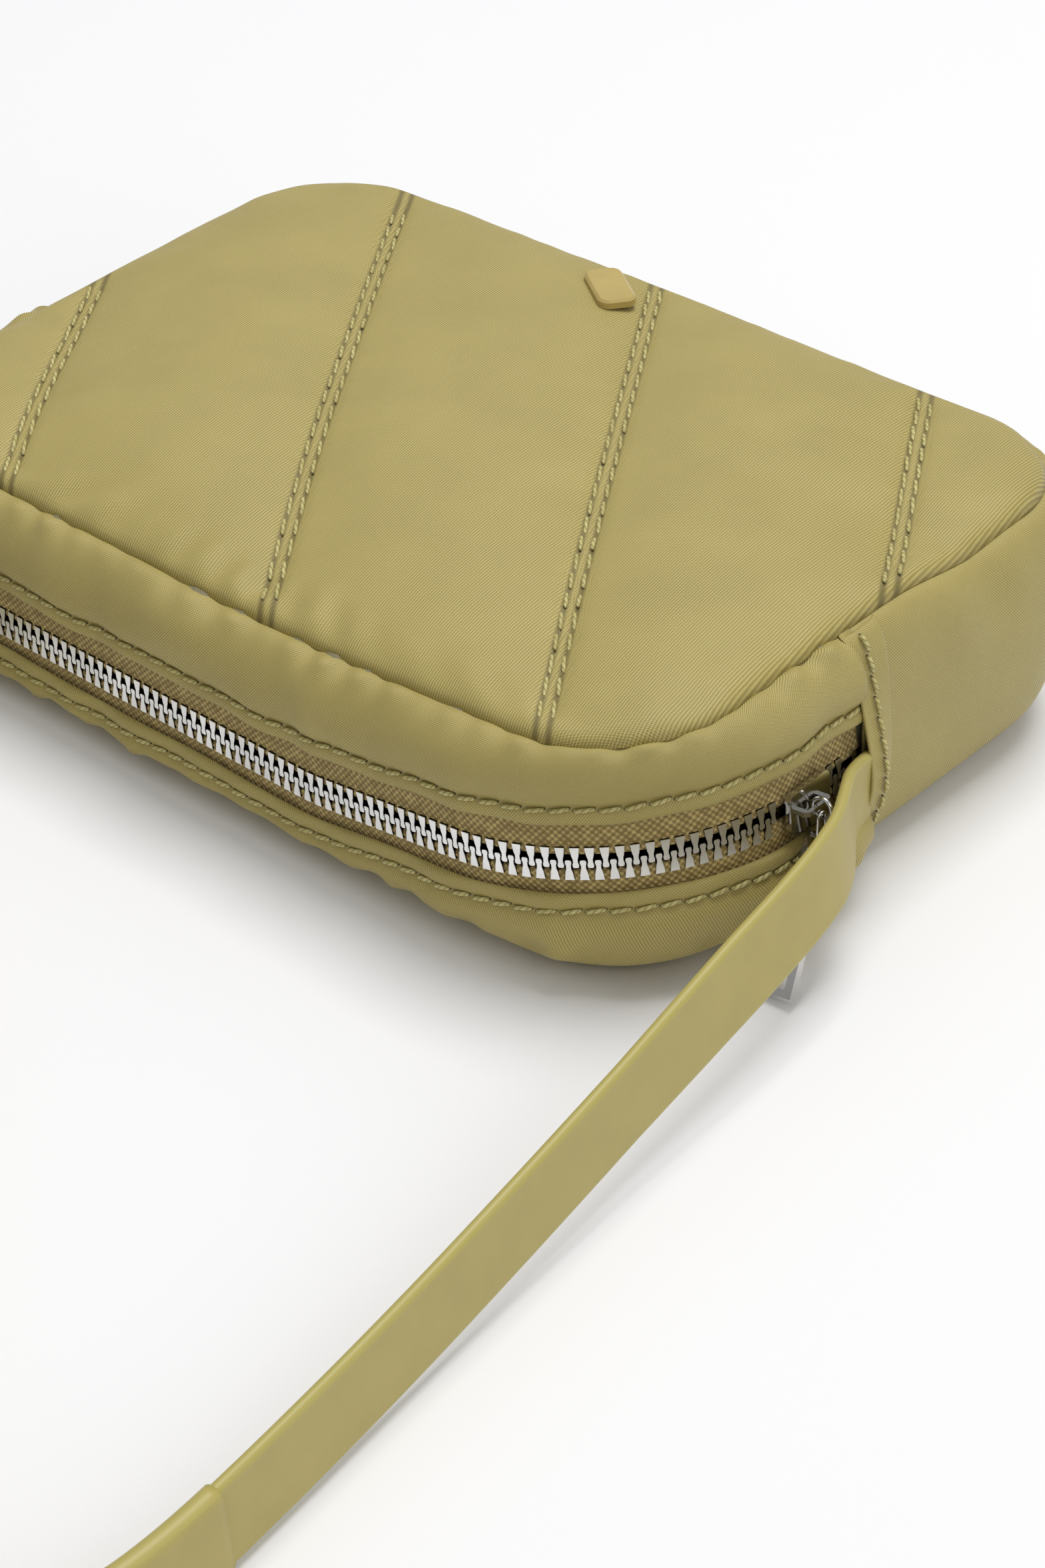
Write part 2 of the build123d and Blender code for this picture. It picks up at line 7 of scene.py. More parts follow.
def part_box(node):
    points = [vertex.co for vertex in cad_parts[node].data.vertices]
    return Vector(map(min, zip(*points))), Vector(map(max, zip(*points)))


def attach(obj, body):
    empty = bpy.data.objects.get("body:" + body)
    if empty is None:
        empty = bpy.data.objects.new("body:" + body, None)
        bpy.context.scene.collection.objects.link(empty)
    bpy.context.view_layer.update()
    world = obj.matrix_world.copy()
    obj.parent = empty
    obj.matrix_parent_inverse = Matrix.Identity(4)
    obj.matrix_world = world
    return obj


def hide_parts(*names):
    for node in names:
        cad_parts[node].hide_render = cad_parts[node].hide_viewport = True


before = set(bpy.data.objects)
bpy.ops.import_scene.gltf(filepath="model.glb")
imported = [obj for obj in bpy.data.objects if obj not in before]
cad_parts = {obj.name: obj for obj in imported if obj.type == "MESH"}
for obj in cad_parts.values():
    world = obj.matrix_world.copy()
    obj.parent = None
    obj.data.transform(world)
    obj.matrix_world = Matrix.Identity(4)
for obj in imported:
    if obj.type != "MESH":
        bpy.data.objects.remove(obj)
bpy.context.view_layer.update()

MM = 0.001
MID_X = sum(corner.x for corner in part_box("front_panel_cover")) / 2 / MM
UP = np.array([0.0, 0.0, 1.0])

# ---- sizes, in millimetres from the middle of the purse --------------------------------------
SEAM_HALF_X = 102.0         # seam round the quilted panel
SEAM_NEAR_Y = -67.0
SEAM_FAR_Y = 70.0
SEAM_R = 27.0
ZIP_HALF_X = 107.0
ZIP_HALF_Y = 71.0
ZIP_CORNER_R = 42.0
ZIP_RIGHT_Z = 28.8
ZIP_MID_Z = 18.0
ZIP_TILT = np.radians(8.0)
ZIP_BEND_R = 60.0
END_SEAM_Y = -11.6
SEAM_HALF_GAP = 0.8
FACING_UP = 8.0
FACING_DOWN = 5.9
TOPSTITCH = 3.3             # folded edge to the row of stitches
BACK_SEAM_Z = 3.6
STRAP_W = 15.5
STRAP_T = 2.2
ZIP_STEP = 0.25             # between the worked-out points of the zip line
CLOTH_MIDDLE = (0, 0, 25)   # a point inside the purse, for turning faces outwards


# ---- meshes ------------------------------------------------------------------------------------
def home(points):
    """Millimetres about the middle of the purse, as metres in the shared frame."""
    return (np.asarray(points, float) + [MID_X, 0.0, 0.0]) * MM


def unit(vectors):
    """Vectors divided by their own lengths."""
    return vectors / np.maximum(np.linalg.norm(vectors, axis=-1, keepdims=True), 1e-9)


def put(name, points, faces, uv, finish, body="bag", slot=None):
    """Mesh object from points in millimetres, faces as corner numbers and one uv for each corner."""
    mesh = bpy.data.meshes.new(name)
    mesh.from_pydata(home(points).tolist(), [], faces.tolist())
    mesh.polygons.foreach_set("use_smooth", np.ones(len(faces), bool))
    if uv is not None:
        layer = mesh.uv_layers.new(name="cloth")
        layer.data.foreach_set("uv", (uv * MM).ravel())
    mesh.materials.append(finish)
    mesh.update()
    piece = bpy.data.objects.new(name, mesh)
    bpy.context.scene.collection.objects.link(piece)
    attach(piece, body)
    return piece


def quads(rows, cols, wrap):
    """Corner numbers of the cells of a rows by cols grid, and the grid places of each corner."""
    r = np.arange(rows - 1)[:, None]
    c = np.arange(cols if wrap else cols - 1)[None, :]
    places = [(r + a, c + b) for a, b in ((0, 0), (0, 1), (1, 1), (1, 0))]
    index = np.stack([np.broadcast_arrays(a * cols + b % cols)[0] for a, b in places], -1)
    return index.reshape(-1, 4), places


def lattice(name, points, uv, finish, away, wrap=False, **rest):
    """Mesh over a grid of points; its faces are turned to look away from the points in away."""
    rows, cols = points.shape[:2]
    faces, places = quads(rows, cols, wrap)
    corner_uv = np.stack([uv[a, b] for a, b in places], 2).reshape(-1, 4, 2)
    flat = points.reshape(-1, 3)
    arm = flat[faces[:, 2]] - flat[faces[:, 0]]
    normal = np.cross(arm, flat[faces[:, 3]] - flat[faces[:, 1]])
    middle = flat[faces].mean(1)
    centre = np.broadcast_to(away, points.shape).reshape(-1, 3)[faces[:, 0]]
    if (normal * (middle - centre)).sum() < 0:
        faces = faces[:, ::-1]
        corner_uv = corner_uv[:, ::-1]
    return put(name, flat, faces, corner_uv.reshape(-1, 2), finish, **rest)


def wall_thickness(piece, thickness):
    """Gives a skin its thickness, inwards."""
    wall = piece.modifiers.new("thickness", "SOLIDIFY")
    wall.thickness = thickness * MM
    wall.offset = -1
    return piece


def lengths(points, axis):
    """Running length along one axis of a grid of points, averaged over the other."""
    steps = np.linalg.norm(np.diff(points, axis=axis), axis=-1).mean(1 - axis)
    return np.concatenate([[0.0], np.cumsum(steps)])


def grid_uv(points):
    """Cloth coordinates of a grid: running lengths down and across it."""
    down, over = lengths(points, 0), lengths(points, 1)
    return np.stack(np.meshgrid(over, down), -1)


def ripples(s, seed, shortest, longest, count=9):
    """Sum of cosine waves along s, their lengths spread between shortest and longest."""
    chance = np.random.default_rng(seed)
    total = np.zeros_like(s, float)
    for _ in range(count):
        wave = shortest * (longest / shortest) ** chance.random()
        total += np.cos(2 * np.pi * (s / wave + chance.random()))
    return total / np.sqrt(count)


def smooth_step(x, low, high):
    """Rises from 0 at low to 1 at high with level ends."""
    t = np.clip((x - low) / (high - low), 0, 1)
    return t * t * (3 - 2 * t)


def bell(x, middle, width):
    """Gaussian bell of height 1."""
    return np.exp(-(((x - middle) / width) ** 2))


# ---- outlines ------------------------------------------------------------------------------------
SEAM_MID_Y = (SEAM_NEAR_Y + SEAM_FAR_Y) / 2
SEAM_HALF_Y = (SEAM_FAR_Y - SEAM_NEAR_Y) / 2

RIM = [(102, -33, 52.3), (102, -14, 52.7), (102, 5, 52.9), (102, 15, 51.6), (102, 26, 49.8),
       (102, 40, 51.2), (95, 62, 50.6), (60, 70, 50.0), (0, 70, 50.4), (-60, 70, 49.8),
       (-95, 62, 49.0), (-102, 30, 48.4), (-102, 0, 46.9), (-102, -30, 45.2), (-92, -60, 44.3),
       (-56, -67, 44.4), (-20, -67, 44.5), (0, -67, 44.0), (16, -67, 44.1), (32, -67, 44.8),
       (48, -67, 45.7), (64, -67, 47.0), (79, -67, 48.0), (94, -58, 50.0), (101, -45, 51.6)]


def bearing(x, y):
    """Direction of a point from the middle of the panel, in radians."""
    return np.arctan2(y - SEAM_MID_Y, x)


def rim_table():
    """Height of the panel's seam by bearing, smoothed over a few degrees."""
    x, y, z = np.array(RIM, float).T
    order = np.argsort(bearing(x, y))
    angles = np.linspace(-np.pi, np.pi, 721)
    heights = np.interp(angles, bearing(x, y)[order], z[order], period=2 * np.pi)
    kernel = bell(np.arange(-12, 13), 0, 6)
    padded = np.concatenate([heights[-13:-1], heights, heights[1:13]])
    return angles, np.convolve(padded, kernel / kernel.sum(), "valid")


RIM_TABLE = rim_table()


def rim_height(x, y):
    """Height of the panel's seam at the bearing of a point."""
    return np.interp(bearing(x, y), *RIM_TABLE)


def onto_seam(x, y, inset=0.0):
    """Nearest point of the panel's rounded outline, drawn in by inset, and its outward direction."""
    core_x = SEAM_HALF_X - SEAM_R
    core_y = SEAM_HALF_Y - SEAM_R
    cx = np.clip(x, -core_x, core_x)
    cy = np.clip(y - SEAM_MID_Y, -core_y, core_y)
    out = unit(np.stack([x - cx, y - SEAM_MID_Y - cy, np.zeros_like(cx)], -1))
    reach = SEAM_R - inset
    return cx + out[..., 0] * reach, cy + SEAM_MID_Y + out[..., 1] * reach, out


def outline_table(half_x, half_y, radius, mid_y):
    """Rounded rectangle as running length, x and y, from the middle of its near right corner."""
    quarter = np.linspace(0, np.pi / 2, 61)
    xs, ys = [], []
    for turn, sx, sy in ((0, 1, 1), (1, -1, 1), (2, -1, -1), (3, 1, -1)):
        angle = quarter + turn * np.pi / 2
        xs.append(sx * (half_x - radius) + radius * np.cos(angle))
        ys.append(sy * (half_y - radius) + mid_y + radius * np.sin(angle))
    x, y = np.concatenate(xs), np.concatenate(ys)
    half = 30
    x, y = np.roll(x, half + 1), np.roll(y, half + 1)
    x, y = np.append(x, x[0]), np.append(y, y[0])
    run = np.concatenate([[0.0], np.cumsum(np.hypot(np.diff(x), np.diff(y)))])
    return run, x, y


# ---- zip line ---------------------------------------------------------------------------------
def zip_line():
    """Zip line every quarter millimetre, as origin, outward and upward directions.

    It is a straight side, a quarter circle in a tilted plane, a slope, a bend of large radius up
    to the level, a level run, a quarter circle and a straight side. A quarter circle turns the
    frame about the point one radius inside it; the bend turns it about the point above it.
    """
    tilt = ZIP_TILT
    at = np.array([ZIP_HALF_X, END_SEAM_Y - SEAM_HALF_GAP, ZIP_RIGHT_Z])
    out = np.array([np.cos(tilt), 0, np.sin(tilt)])
    up = np.array([-np.sin(tilt), 0, np.cos(tilt)])
    ahead = np.array([0.0, -1.0, 0.0])
    rows = []

    def keep(*columns):
        """Adds origins, outward and upward directions; a direction that stays is repeated."""
        rows.append(np.concatenate([np.broadcast_to(c, columns[0].shape) for c in columns], 1))

    def straight(length):
        """Run straight ahead."""
        nonlocal at
        t = np.arange(0, length, ZIP_STEP)[:, None]
        keep(at + ahead * t, out, up)
        at = at + ahead * length

    def corner(radius):
        """Quarter circle about the point one radius inside the line."""
        nonlocal at, out, ahead
        a = np.arange(0, np.pi / 2, ZIP_STEP / radius)[:, None]
        centre = at - out * radius
        turned = np.cos(a) * out + np.sin(a) * ahead
        keep(centre + radius * turned, turned, up)
        at, out, ahead = centre + radius * ahead, ahead, -out

    def level_out(radius, angle):
        """Bend upwards about the point one radius above the line."""
        nonlocal at, up, ahead
        a = np.arange(0, angle, ZIP_STEP / radius)[:, None]
        centre = at + up * radius
        lift = np.cos(a) * up - np.sin(a) * ahead
        keep(centre - radius * lift, out, lift)
        at = centre - radius * (np.cos(angle) * up - np.sin(angle) * ahead)
        up, ahead = (np.cos(angle) * up - np.sin(angle) * ahead,
                     np.cos(angle) * ahead + np.sin(angle) * up)

    side = ZIP_HALF_Y - ZIP_CORNER_R + END_SEAM_Y - SEAM_HALF_GAP
    straight(side)
    corner(ZIP_CORNER_R)
    straight((at[2] - ZIP_MID_Z) / np.sin(tilt) - ZIP_BEND_R * np.tan(tilt / 2))
    level_out(ZIP_BEND_R, tilt)
    straight(at[0] + ZIP_HALF_X - ZIP_CORNER_R)
    corner(ZIP_CORNER_R)
    straight(side)
    keep(at[None], out, up)
    table = np.concatenate(rows)
    run = np.concatenate([[0.0], np.cumsum(np.linalg.norm(np.diff(table[:, :3], axis=0), axis=1))])
    return run, table


ZIP_RUN, ZIP_TABLE = zip_line()
ZIP_LENGTH = ZIP_RUN[-1]


def on_zip(d):
    """Origin, outward and upward directions of the zip line at distances d from its right end."""
    found = np.stack([np.interp(d, ZIP_RUN, column) for column in ZIP_TABLE.T], -1)
    return found[:, :3], unit(found[:, 3:6]), unit(found[:, 6:9])


# ---- finishes -----------------------------------------------------------------------------------
def node_group(name, inputs, outputs, build):
    """Shader node group with named float, vector or colour sockets."""
    tree = bpy.data.node_groups.new(name, "ShaderNodeTree")
    kinds = {"f": "NodeSocketFloat", "v": "NodeSocketVector", "c": "NodeSocketColor"}
    for label, kind, value in inputs:
        socket = tree.interface.new_socket(name=label, in_out="INPUT", socket_type=kinds[kind])
        if value is not None:
            socket.default_value = value
    for label, kind in outputs:
        tree.interface.new_socket(name=label, in_out="OUTPUT", socket_type=kinds[kind])
    start = tree.nodes.new("NodeGroupInput")
    end = tree.nodes.new("NodeGroupOutput")
    build(tree, start, end)
    return tree


def maths(tree, operation, *values):
    """Math node; each value is a number or a socket."""
    node = tree.nodes.new("ShaderNodeMath")
    node.operation = operation
    for place, value in enumerate(values):
        if isinstance(value, (int, float)):
            node.inputs[place].default_value = value
        else:
            tree.links.new(value, node.inputs[place])
    return node.outputs[0]


def noise(tree, vector, scale, detail=2.0, roughness=0.5):
    """Noise texture factor."""
    node = tree.nodes.new("ShaderNodeTexNoise")
    node.inputs["Scale"].default_value = scale
    node.inputs["Detail"].default_value = detail
    node.inputs["Roughness"].default_value = roughness
    tree.links.new(vector, node.inputs["Vector"])
    return node.outputs["Fac"]


def ramp(tree, factor, low, high, low_colour, high_colour):
    """Colour that goes from one to another as the factor goes from low to high."""
    node = tree.nodes.new("ShaderNodeMapRange")
    node.interpolation_type = "SMOOTHSTEP"
    node.inputs["From Min"].default_value = low
    node.inputs["From Max"].default_value = high
    tree.links.new(factor, node.inputs["Value"])
    mix = tree.nodes.new("ShaderNodeMix")
    mix.data_type = "RGBA"
    tree.links.new(node.outputs["Result"], mix.inputs["Factor"])
    for socket, colour in ((mix.inputs[6], low_colour), (mix.inputs[7], high_colour)):
        if isinstance(colour, tuple):
            socket.default_value = (*colour, 1)
        else:
            tree.links.new(colour, socket)
    return mix.outputs[2]


def build_twill(tree, start, end):
    """Ribs crossed by finer yarns.

    The ribs are a sine of (u + slant v) / pitch, pushed about by noise, and the yarns a quicker
    sine of (v - 0.6 u) / pitch; the shade is their sum with a broad cloudiness.
    """
    split = tree.nodes.new("ShaderNodeSeparateXYZ")
    tree.links.new(start.outputs["Vector"], split.inputs[0])
    u, v = split.outputs[0], split.outputs[1]
    uneven = noise(tree, start.outputs["Vector"], 900.0, 2.0)
    leaned = maths(tree, "ADD", u, maths(tree, "MULTIPLY", v, start.outputs["Slant"]))
    turns = maths(tree, "DIVIDE", leaned, start.outputs["Pitch"])
    phase = maths(tree, "ADD", maths(tree, "MULTIPLY", turns, 2 * np.pi),
                  maths(tree, "MULTIPLY", uneven, 1.6))
    rib = maths(tree, "SINE", phase)
    crossed = maths(tree, "SUBTRACT", v, maths(tree, "MULTIPLY", u, 0.6))
    steps = maths(tree, "DIVIDE", crossed, start.outputs["Pitch"])
    yarn = maths(tree, "SINE", maths(tree, "MULTIPLY", steps, 3.4 * np.pi))
    relief = maths(tree, "ADD", maths(tree, "MULTIPLY", rib, 0.30), maths(tree, "MULTIPLY", yarn, 0.20))
    tree.links.new(maths(tree, "ADD", relief, 0.5), end.inputs["Height"])
    cloudy = noise(tree, start.outputs["Vector"], 45.0, 4.0)
    shade = maths(tree, "ADD", maths(tree, "MULTIPLY", relief, 0.85), maths(tree, "MULTIPLY", cloudy, 0.30))
    tree.links.new(maths(tree, "ADD", shade, 0.35), end.inputs["Shade"])


TWILL = node_group("twill_ribs", [("Vector", "v", None), ("Pitch", "f", 0.0005), ("Slant", "f", 0.12)],
                   [("Height", "f"), ("Shade", "f")], build_twill)


def build_plain_weave(tree, start, end):
    """Square weave: rows of rounded yarns that go over and under each other."""
    split = tree.nodes.new("ShaderNodeSeparateXYZ")
    tree.links.new(start.outputs["Vector"], split.inputs[0])
    waves = []
    for axis in (0, 1):
        turns = maths(tree, "DIVIDE", split.outputs[axis], start.outputs["Pitch"])
        waves.append(maths(tree, "SINE", maths(tree, "MULTIPLY", turns, 2 * np.pi)))
    weave = maths(tree, "MULTIPLY", waves[0], waves[1])
    uneven = noise(tree, start.outputs["Vector"], 500.0, 3.0)
    height = maths(tree, "ADD", maths(tree, "MULTIPLY", weave, 0.35), maths(tree, "MULTIPLY", uneven, 0.4))
    tree.links.new(maths(tree, "ADD", height, 0.3), end.inputs["Height"])
    shade = maths(tree, "ADD", maths(tree, "MULTIPLY", weave, 0.28), maths(tree, "MULTIPLY", uneven, 0.8))
    tree.links.new(shade, end.inputs["Shade"])


PLAIN_WEAVE = node_group("plain_weave", [("Vector", "v", None), ("Pitch", "f", 0.0006)],
                         [("Height", "f"), ("Shade", "f")], build_plain_weave)


def build_specks(tree, start, end):
    """Fine pores and soft clouds, as on smooth leather, enamel and plated metal."""
    fine = noise(tree, start.outputs["Vector"], 1400.0, 3.0, 0.6)
    wide = noise(tree, start.outputs["Vector"], 90.0, 4.0, 0.55)
    height = maths(tree, "ADD", maths(tree, "MULTIPLY", fine, 0.6), maths(tree, "MULTIPLY", wide, 0.4))
    tree.links.new(height, end.inputs["Height"])
    tree.links.new(wide, end.inputs["Shade"])


SPECKS = node_group("fine_specks", [("Vector", "v", None)], [("Height", "f"), ("Shade", "f")], build_specks)


SHADE_RANGE = (0.2, 0.8)    # shades that give a finish's dark and light colours


def finish(name, group, dark, light, roughness, bump, distance, pitch=None, coords="UV", metallic=0.0,
           sheen=0.0, coat=0.0, slant=None):
    """Material whose colour and relief come from one of the node groups."""
    made = bpy.data.materials.new(name)
    made.use_nodes = True
    tree = made.node_tree
    shader = tree.nodes["Principled BSDF"]
    place = tree.nodes.new("ShaderNodeTexCoord")
    pattern = tree.nodes.new("ShaderNodeGroup")
    pattern.node_tree = group
    tree.links.new(place.outputs[coords], pattern.inputs["Vector"])
    if pitch:
        pattern.inputs["Pitch"].default_value = pitch
    if slant is not None:
        pattern.inputs["Slant"].default_value = slant
    tree.links.new(ramp(tree, pattern.outputs["Shade"], *SHADE_RANGE, dark, light),
                   shader.inputs["Base Color"])
    relief = tree.nodes.new("ShaderNodeBump")
    relief.inputs["Strength"].default_value = bump
    relief.inputs["Distance"].default_value = distance
    tree.links.new(pattern.outputs["Height"], relief.inputs["Height"])
    tree.links.new(relief.outputs["Normal"], shader.inputs["Normal"])
    shader.inputs["Roughness"].default_value = roughness
    shader.inputs["Metallic"].default_value = metallic
    shader.inputs["Sheen Weight"].default_value = sheen
    shader.inputs["Sheen Roughness"].default_value = 0.4
    shader.inputs["Coat Weight"].default_value = coat
    return made


NYLON_LOOK = dict(group=TWILL, dark=(0.280, 0.223, 0.060), light=(0.505, 0.415, 0.136), roughness=0.50,
                  bump=0.7, distance=0.00010, sheen=0.06)
PANEL_RIBS = 0.00056        # pitch of the cloth's ribs on the panels
NYLON = finish("olive_nylon", pitch=PANEL_RIBS, **NYLON_LOOK)
WALL_NYLON = finish("olive_nylon_on_the_bias", pitch=0.00054, slant=0.85, **NYLON_LOOK)
LINING = finish("lining_cloth", TWILL, (0.16, 0.14, 0.075), (0.21, 0.185, 0.10), 0.6, 0.3, 0.00008, 0.0004)
TAPE = finish("zip_tape_weave", PLAIN_WEAVE, (0.235, 0.165, 0.050), (0.620, 0.480, 0.190), 0.75, 1.0,
              0.0004, 0.0014, sheen=0.1)
BINDING = finish("woven_binding", PLAIN_WEAVE, (0.17, 0.145, 0.07), (0.24, 0.21, 0.11), 0.75, 0.6,
                 0.0002, 0.0008)
WADDING = finish("wadding", SPECKS, (0.62, 0.60, 0.55), (0.78, 0.76, 0.71), 0.95, 0.8, 0.0008)
STIFFENER = finish("stiffener_board", SPECKS, (0.20, 0.19, 0.16), (0.28, 0.27, 0.23), 0.8, 0.4, 0.0003)


def thread():
    """Plied sewing thread: light, with painted shade as darker stripes between its slanting plies, and a
    near-black painted shadow where it dives into the cloth.

    Its uv holds the place along a stitch, -1 to 1, and the turn round it, both in thousandths.
    """
    made = finish("olive_thread", SPECKS, (0.45, 0.395, 0.145), (0.60, 0.54, 0.235), 0.5, 0.6, 0.0001,
                  coords="Object")
    tree = made.node_tree
    shader = tree.nodes["Principled BSDF"]
    yarn = shader.inputs["Base Color"].links[0].from_socket
    place = tree.nodes.new("ShaderNodeTexCoord")
    split = tree.nodes.new("ShaderNodeSeparateXYZ")
    tree.links.new(place.outputs["UV"], split.inputs[0])
    # painted shade: darker stripes along the grooves between the plies
    plies = maths(tree, "ADD", maths(tree, "MULTIPLY", split.outputs[0], 9000.0),
                  maths(tree, "MULTIPLY", split.outputs[1], 4000 * np.pi))
    yarn_with_painted_ply_shade = ramp(tree, maths(tree, "SINE", plies), -1.2, 0.2, (0.30, 0.25, 0.085), yarn)
    # painted shadow: the stitch turns near black at its ends, where it dives into the needle holes
    painted_hole_shadow_reach = maths(tree, "ABSOLUTE", split.outputs[0])
    tree.links.new(ramp(tree, painted_hole_shadow_reach, 0.00080, 0.00100, yarn_with_painted_ply_shade, (0.06, 0.048, 0.014)),
                   shader.inputs["Base Color"])
    return made


THREAD = thread()
BADGE = finish("olive_enamel", SPECKS, (0.450, 0.335, 0.105), (0.510, 0.390, 0.130), 0.36, 0.15, 0.00004,
               coords="Object", coat=0.15)
NICKEL = finish("bright_nickel", SPECKS, (0.46, 0.45, 0.43), (0.62, 0.61, 0.58), 0.13, 0.10, 0.00003,
                coords="Object", metallic=1.0)


# ---- camera, light and floor --------------------------------------------------------------------
CAMERA_TURN = (41.61, 35.78, -0.23)     # azimuth, elevation and roll in degrees
CAMERA_AT = (0.36713, -0.39869, 0.35812)
LENS = 110.99


def add_camera():
    """Camera above the purse's right end, looking down on the zip's corner."""
    azimuth, elevation, roll = np.radians(CAMERA_TURN)
    ahead = np.array([-np.sin(azimuth) * np.cos(elevation), np.cos(azimuth) * np.cos(elevation),
                      -np.sin(elevation)])
    right = unit(np.cross(ahead, UP))
    top = np.cross(right, ahead)
    right, top = (np.cos(roll) * right + np.sin(roll) * top, np.cos(roll) * top - np.sin(roll) * right)
    data = bpy.data.cameras.new("camera")
    data.sensor_fit = "HORIZONTAL"
    data.sensor_width = 36.0
    data.lens = LENS
    camera = bpy.data.objects.new("camera", data)
    turn = Matrix(np.stack([right, top, -ahead], 1).tolist())
    camera.matrix_world = Matrix.Translation(Vector(CAMERA_AT)) @ turn.to_4x4()
    bpy.context.scene.collection.objects.link(camera)
    bpy.context.scene.camera = camera


def add_light(name, place, target, size, power):
    """Soft square light that looks at a point."""
    data = bpy.data.lights.new(name, "AREA")
    data.size = size
    data.energy = power
    lamp = bpy.data.objects.new(name, data)
    lamp.location = place
    lamp.rotation_euler = (Vector(target) - Vector(place)).to_track_quat("-Z", "Y").to_euler()
    bpy.context.scene.collection.objects.link(lamp)


def add_floor():
    """Broad pale plane under the purse."""
    half = 6.0
    mesh = bpy.data.meshes.new("floor")
    mesh.from_pydata([(-half, -half, 0), (half, -half, 0), (half, half, 0), (-half, half, 0)], [],
                     [(0, 1, 2, 3)])
    paper = bpy.data.materials.new("pale_paper")
    paper.use_nodes = True
    shader = paper.node_tree.nodes["Principled BSDF"]
    shader.inputs["Base Color"].default_value = (0.855, 0.855, 0.865, 1)
    shader.inputs["Roughness"].default_value = 0.9
    shader.inputs["Specular IOR Level"].default_value = 0.1
    mesh.materials.append(paper)
    floor = bpy.data.objects.new("floor", mesh)
    bpy.context.scene.collection.objects.link(floor)


add_camera()
add_floor()
add_light("key_light", (0.0, 0.45, 1.9), (0.0, 0.0, 0.0), 1.0, 23.5)
add_light("fill_light", (1.4, -0.45, 0.9), (0.0, 0.0, 0.0), 1.0, 5.5)
world = bpy.data.worlds.new("studio")
world.use_nodes = True
sky = world.node_tree
direction = sky.nodes.new("ShaderNodeTexCoord")
height = sky.nodes.new("ShaderNodeSeparateXYZ")
sky.links.new(direction.outputs["Generated"], height.inputs[0])
sky.links.new(ramp(sky, height.outputs[2], 0.0, 0.85, (0.50, 0.50, 0.51), (1.25, 1.25, 1.25)),
              sky.nodes["Background"].inputs["Color"])
sky.nodes["Background"].inputs["Strength"].default_value = 0.46
bpy.context.scene.world = world
bpy.context.scene.view_settings.view_transform = "Standard"

# ---- strap ----------------------------------------------------------------------------------------
# middle of the strap, in metres from the middle of the purse
STRAP_ROUTE = [
    (0.1099, -0.0113, 0.0242), (0.1099, -0.0174, 0.02415), (0.1138, -0.0236, 0.0240),
    (0.1177, -0.0300, 0.0238), (0.1205, -0.0390, 0.0236), (0.1221, -0.0510, 0.0222),
    (0.1236, -0.0680, 0.0201), (0.1258, -0.0920, 0.0170), (0.1288, -0.1240, 0.0132),
    (0.1318, -0.1570, 0.0099), (0.1349, -0.1880, 0.00895), (0.1366, -0.2080, 0.00895),
    (0.1358, -0.2230, 0.00895), (0.1294, -0.2365, 0.00895), (0.1176, -0.2466, 0.00895),
    (0.1038, -0.24804, 0.00895), (0.0940, -0.2395, 0.00895)]
# folded part of the strap: metres along and across its length
HANK_FOLDS = [
    (0.030, 0.0), (0.065, 0.0003), (0.105, -0.0002), (0.145, 0.0), (0.180, 0.0), (0.204, -0.0010),
    (0.219, -0.0032), (0.2305, -0.0015), (0.2335, 0.0048), (0.2295, 0.0112), (0.217, 0.0122),
    (0.202, 0.0093), (0.172, 0.0090), (0.135, 0.0092), (0.095, 0.0088), (0.060, 0.0090),
    (0.034, 0.0082), (0.018, 0.0058), (0.0055, 0.0073), (0.0015, 0.0135), (0.0055, 0.0197),
    (0.018, 0.0213), (0.033, 0.0186), (0.062, 0.0180), (0.100, 0.0181), (0.145, 0.0179), (0.190, 0.0180)]
LEFT_ROUTE = [
    (-0.0950, -0.0987, 0.00895), (-0.1048, -0.0902, 0.00895), (-0.1124, -0.0770, 0.0092),
    (-0.1170, -0.0600, 0.0107), (-0.1174, -0.0430, 0.0139), (-0.1144, -0.0280, 0.0175),
    (-0.1099, -0.0190, 0.0204), (-0.1099, -0.0113, 0.0220)]
HANK_START = np.array([0.0940, -0.2395, 0.00895])
HANK_AHEAD = np.array([-0.754, 0.657, 0.0])
HANK_SIDE = np.array([-0.657, -0.754, 0.0])


def strap_middle():
    """Smooth line through the strap's whole length, read from a curve with these control points."""
    folds = [HANK_START + HANK_AHEAD * a + HANK_SIDE * b for a, b in HANK_FOLDS]
    route = np.array([*STRAP_ROUTE, *folds, *LEFT_ROUTE]) + [MID_X * MM, 0, 0]
    data = bpy.data.curves.new("strap_middle", "CURVE")
    data.dimensions = "3D"
    data.resolution_u = 14
    spline = data.splines.new("NURBS")
    spline.points.add(len(route) - 1)
    spline.points.foreach_set("co", np.column_stack([route, np.ones(len(route))]).ravel())
    spline.order_u = 3
    spline.use_endpoint_u = True
    holder = bpy.data.objects.new("strap_middle", data)
    bpy.context.scene.collection.objects.link(holder)
    bpy.context.view_layer.update()
    line = bpy.data.meshes.new_from_object(holder)
    points = np.array([v.co for v in line.vertices])
    bpy.data.objects.remove(holder)
    return points / MM - [MID_X, 0, 0]


def evenly(points, step):
    """Line resampled at equal steps, and the distance of each sample."""
    run = np.concatenate([[0.0], np.cumsum(np.linalg.norm(np.diff(points, axis=0), axis=1))])
    at = np.linspace(0, run[-1], int(run[-1] / step) + 1)
    return np.stack([np.interp(at, run, column) for column in points.T], 1), at


STRAP_STEP = 1.5            # between the rings of the strap
OVERLAP_Y = (-221.0, -195.5)
BEFORE_FOLDS = 300          # the strap from its right end to its folds is shorter than this

STRAP_LINE, STRAP_RUN = evenly(strap_middle(), STRAP_STEP)


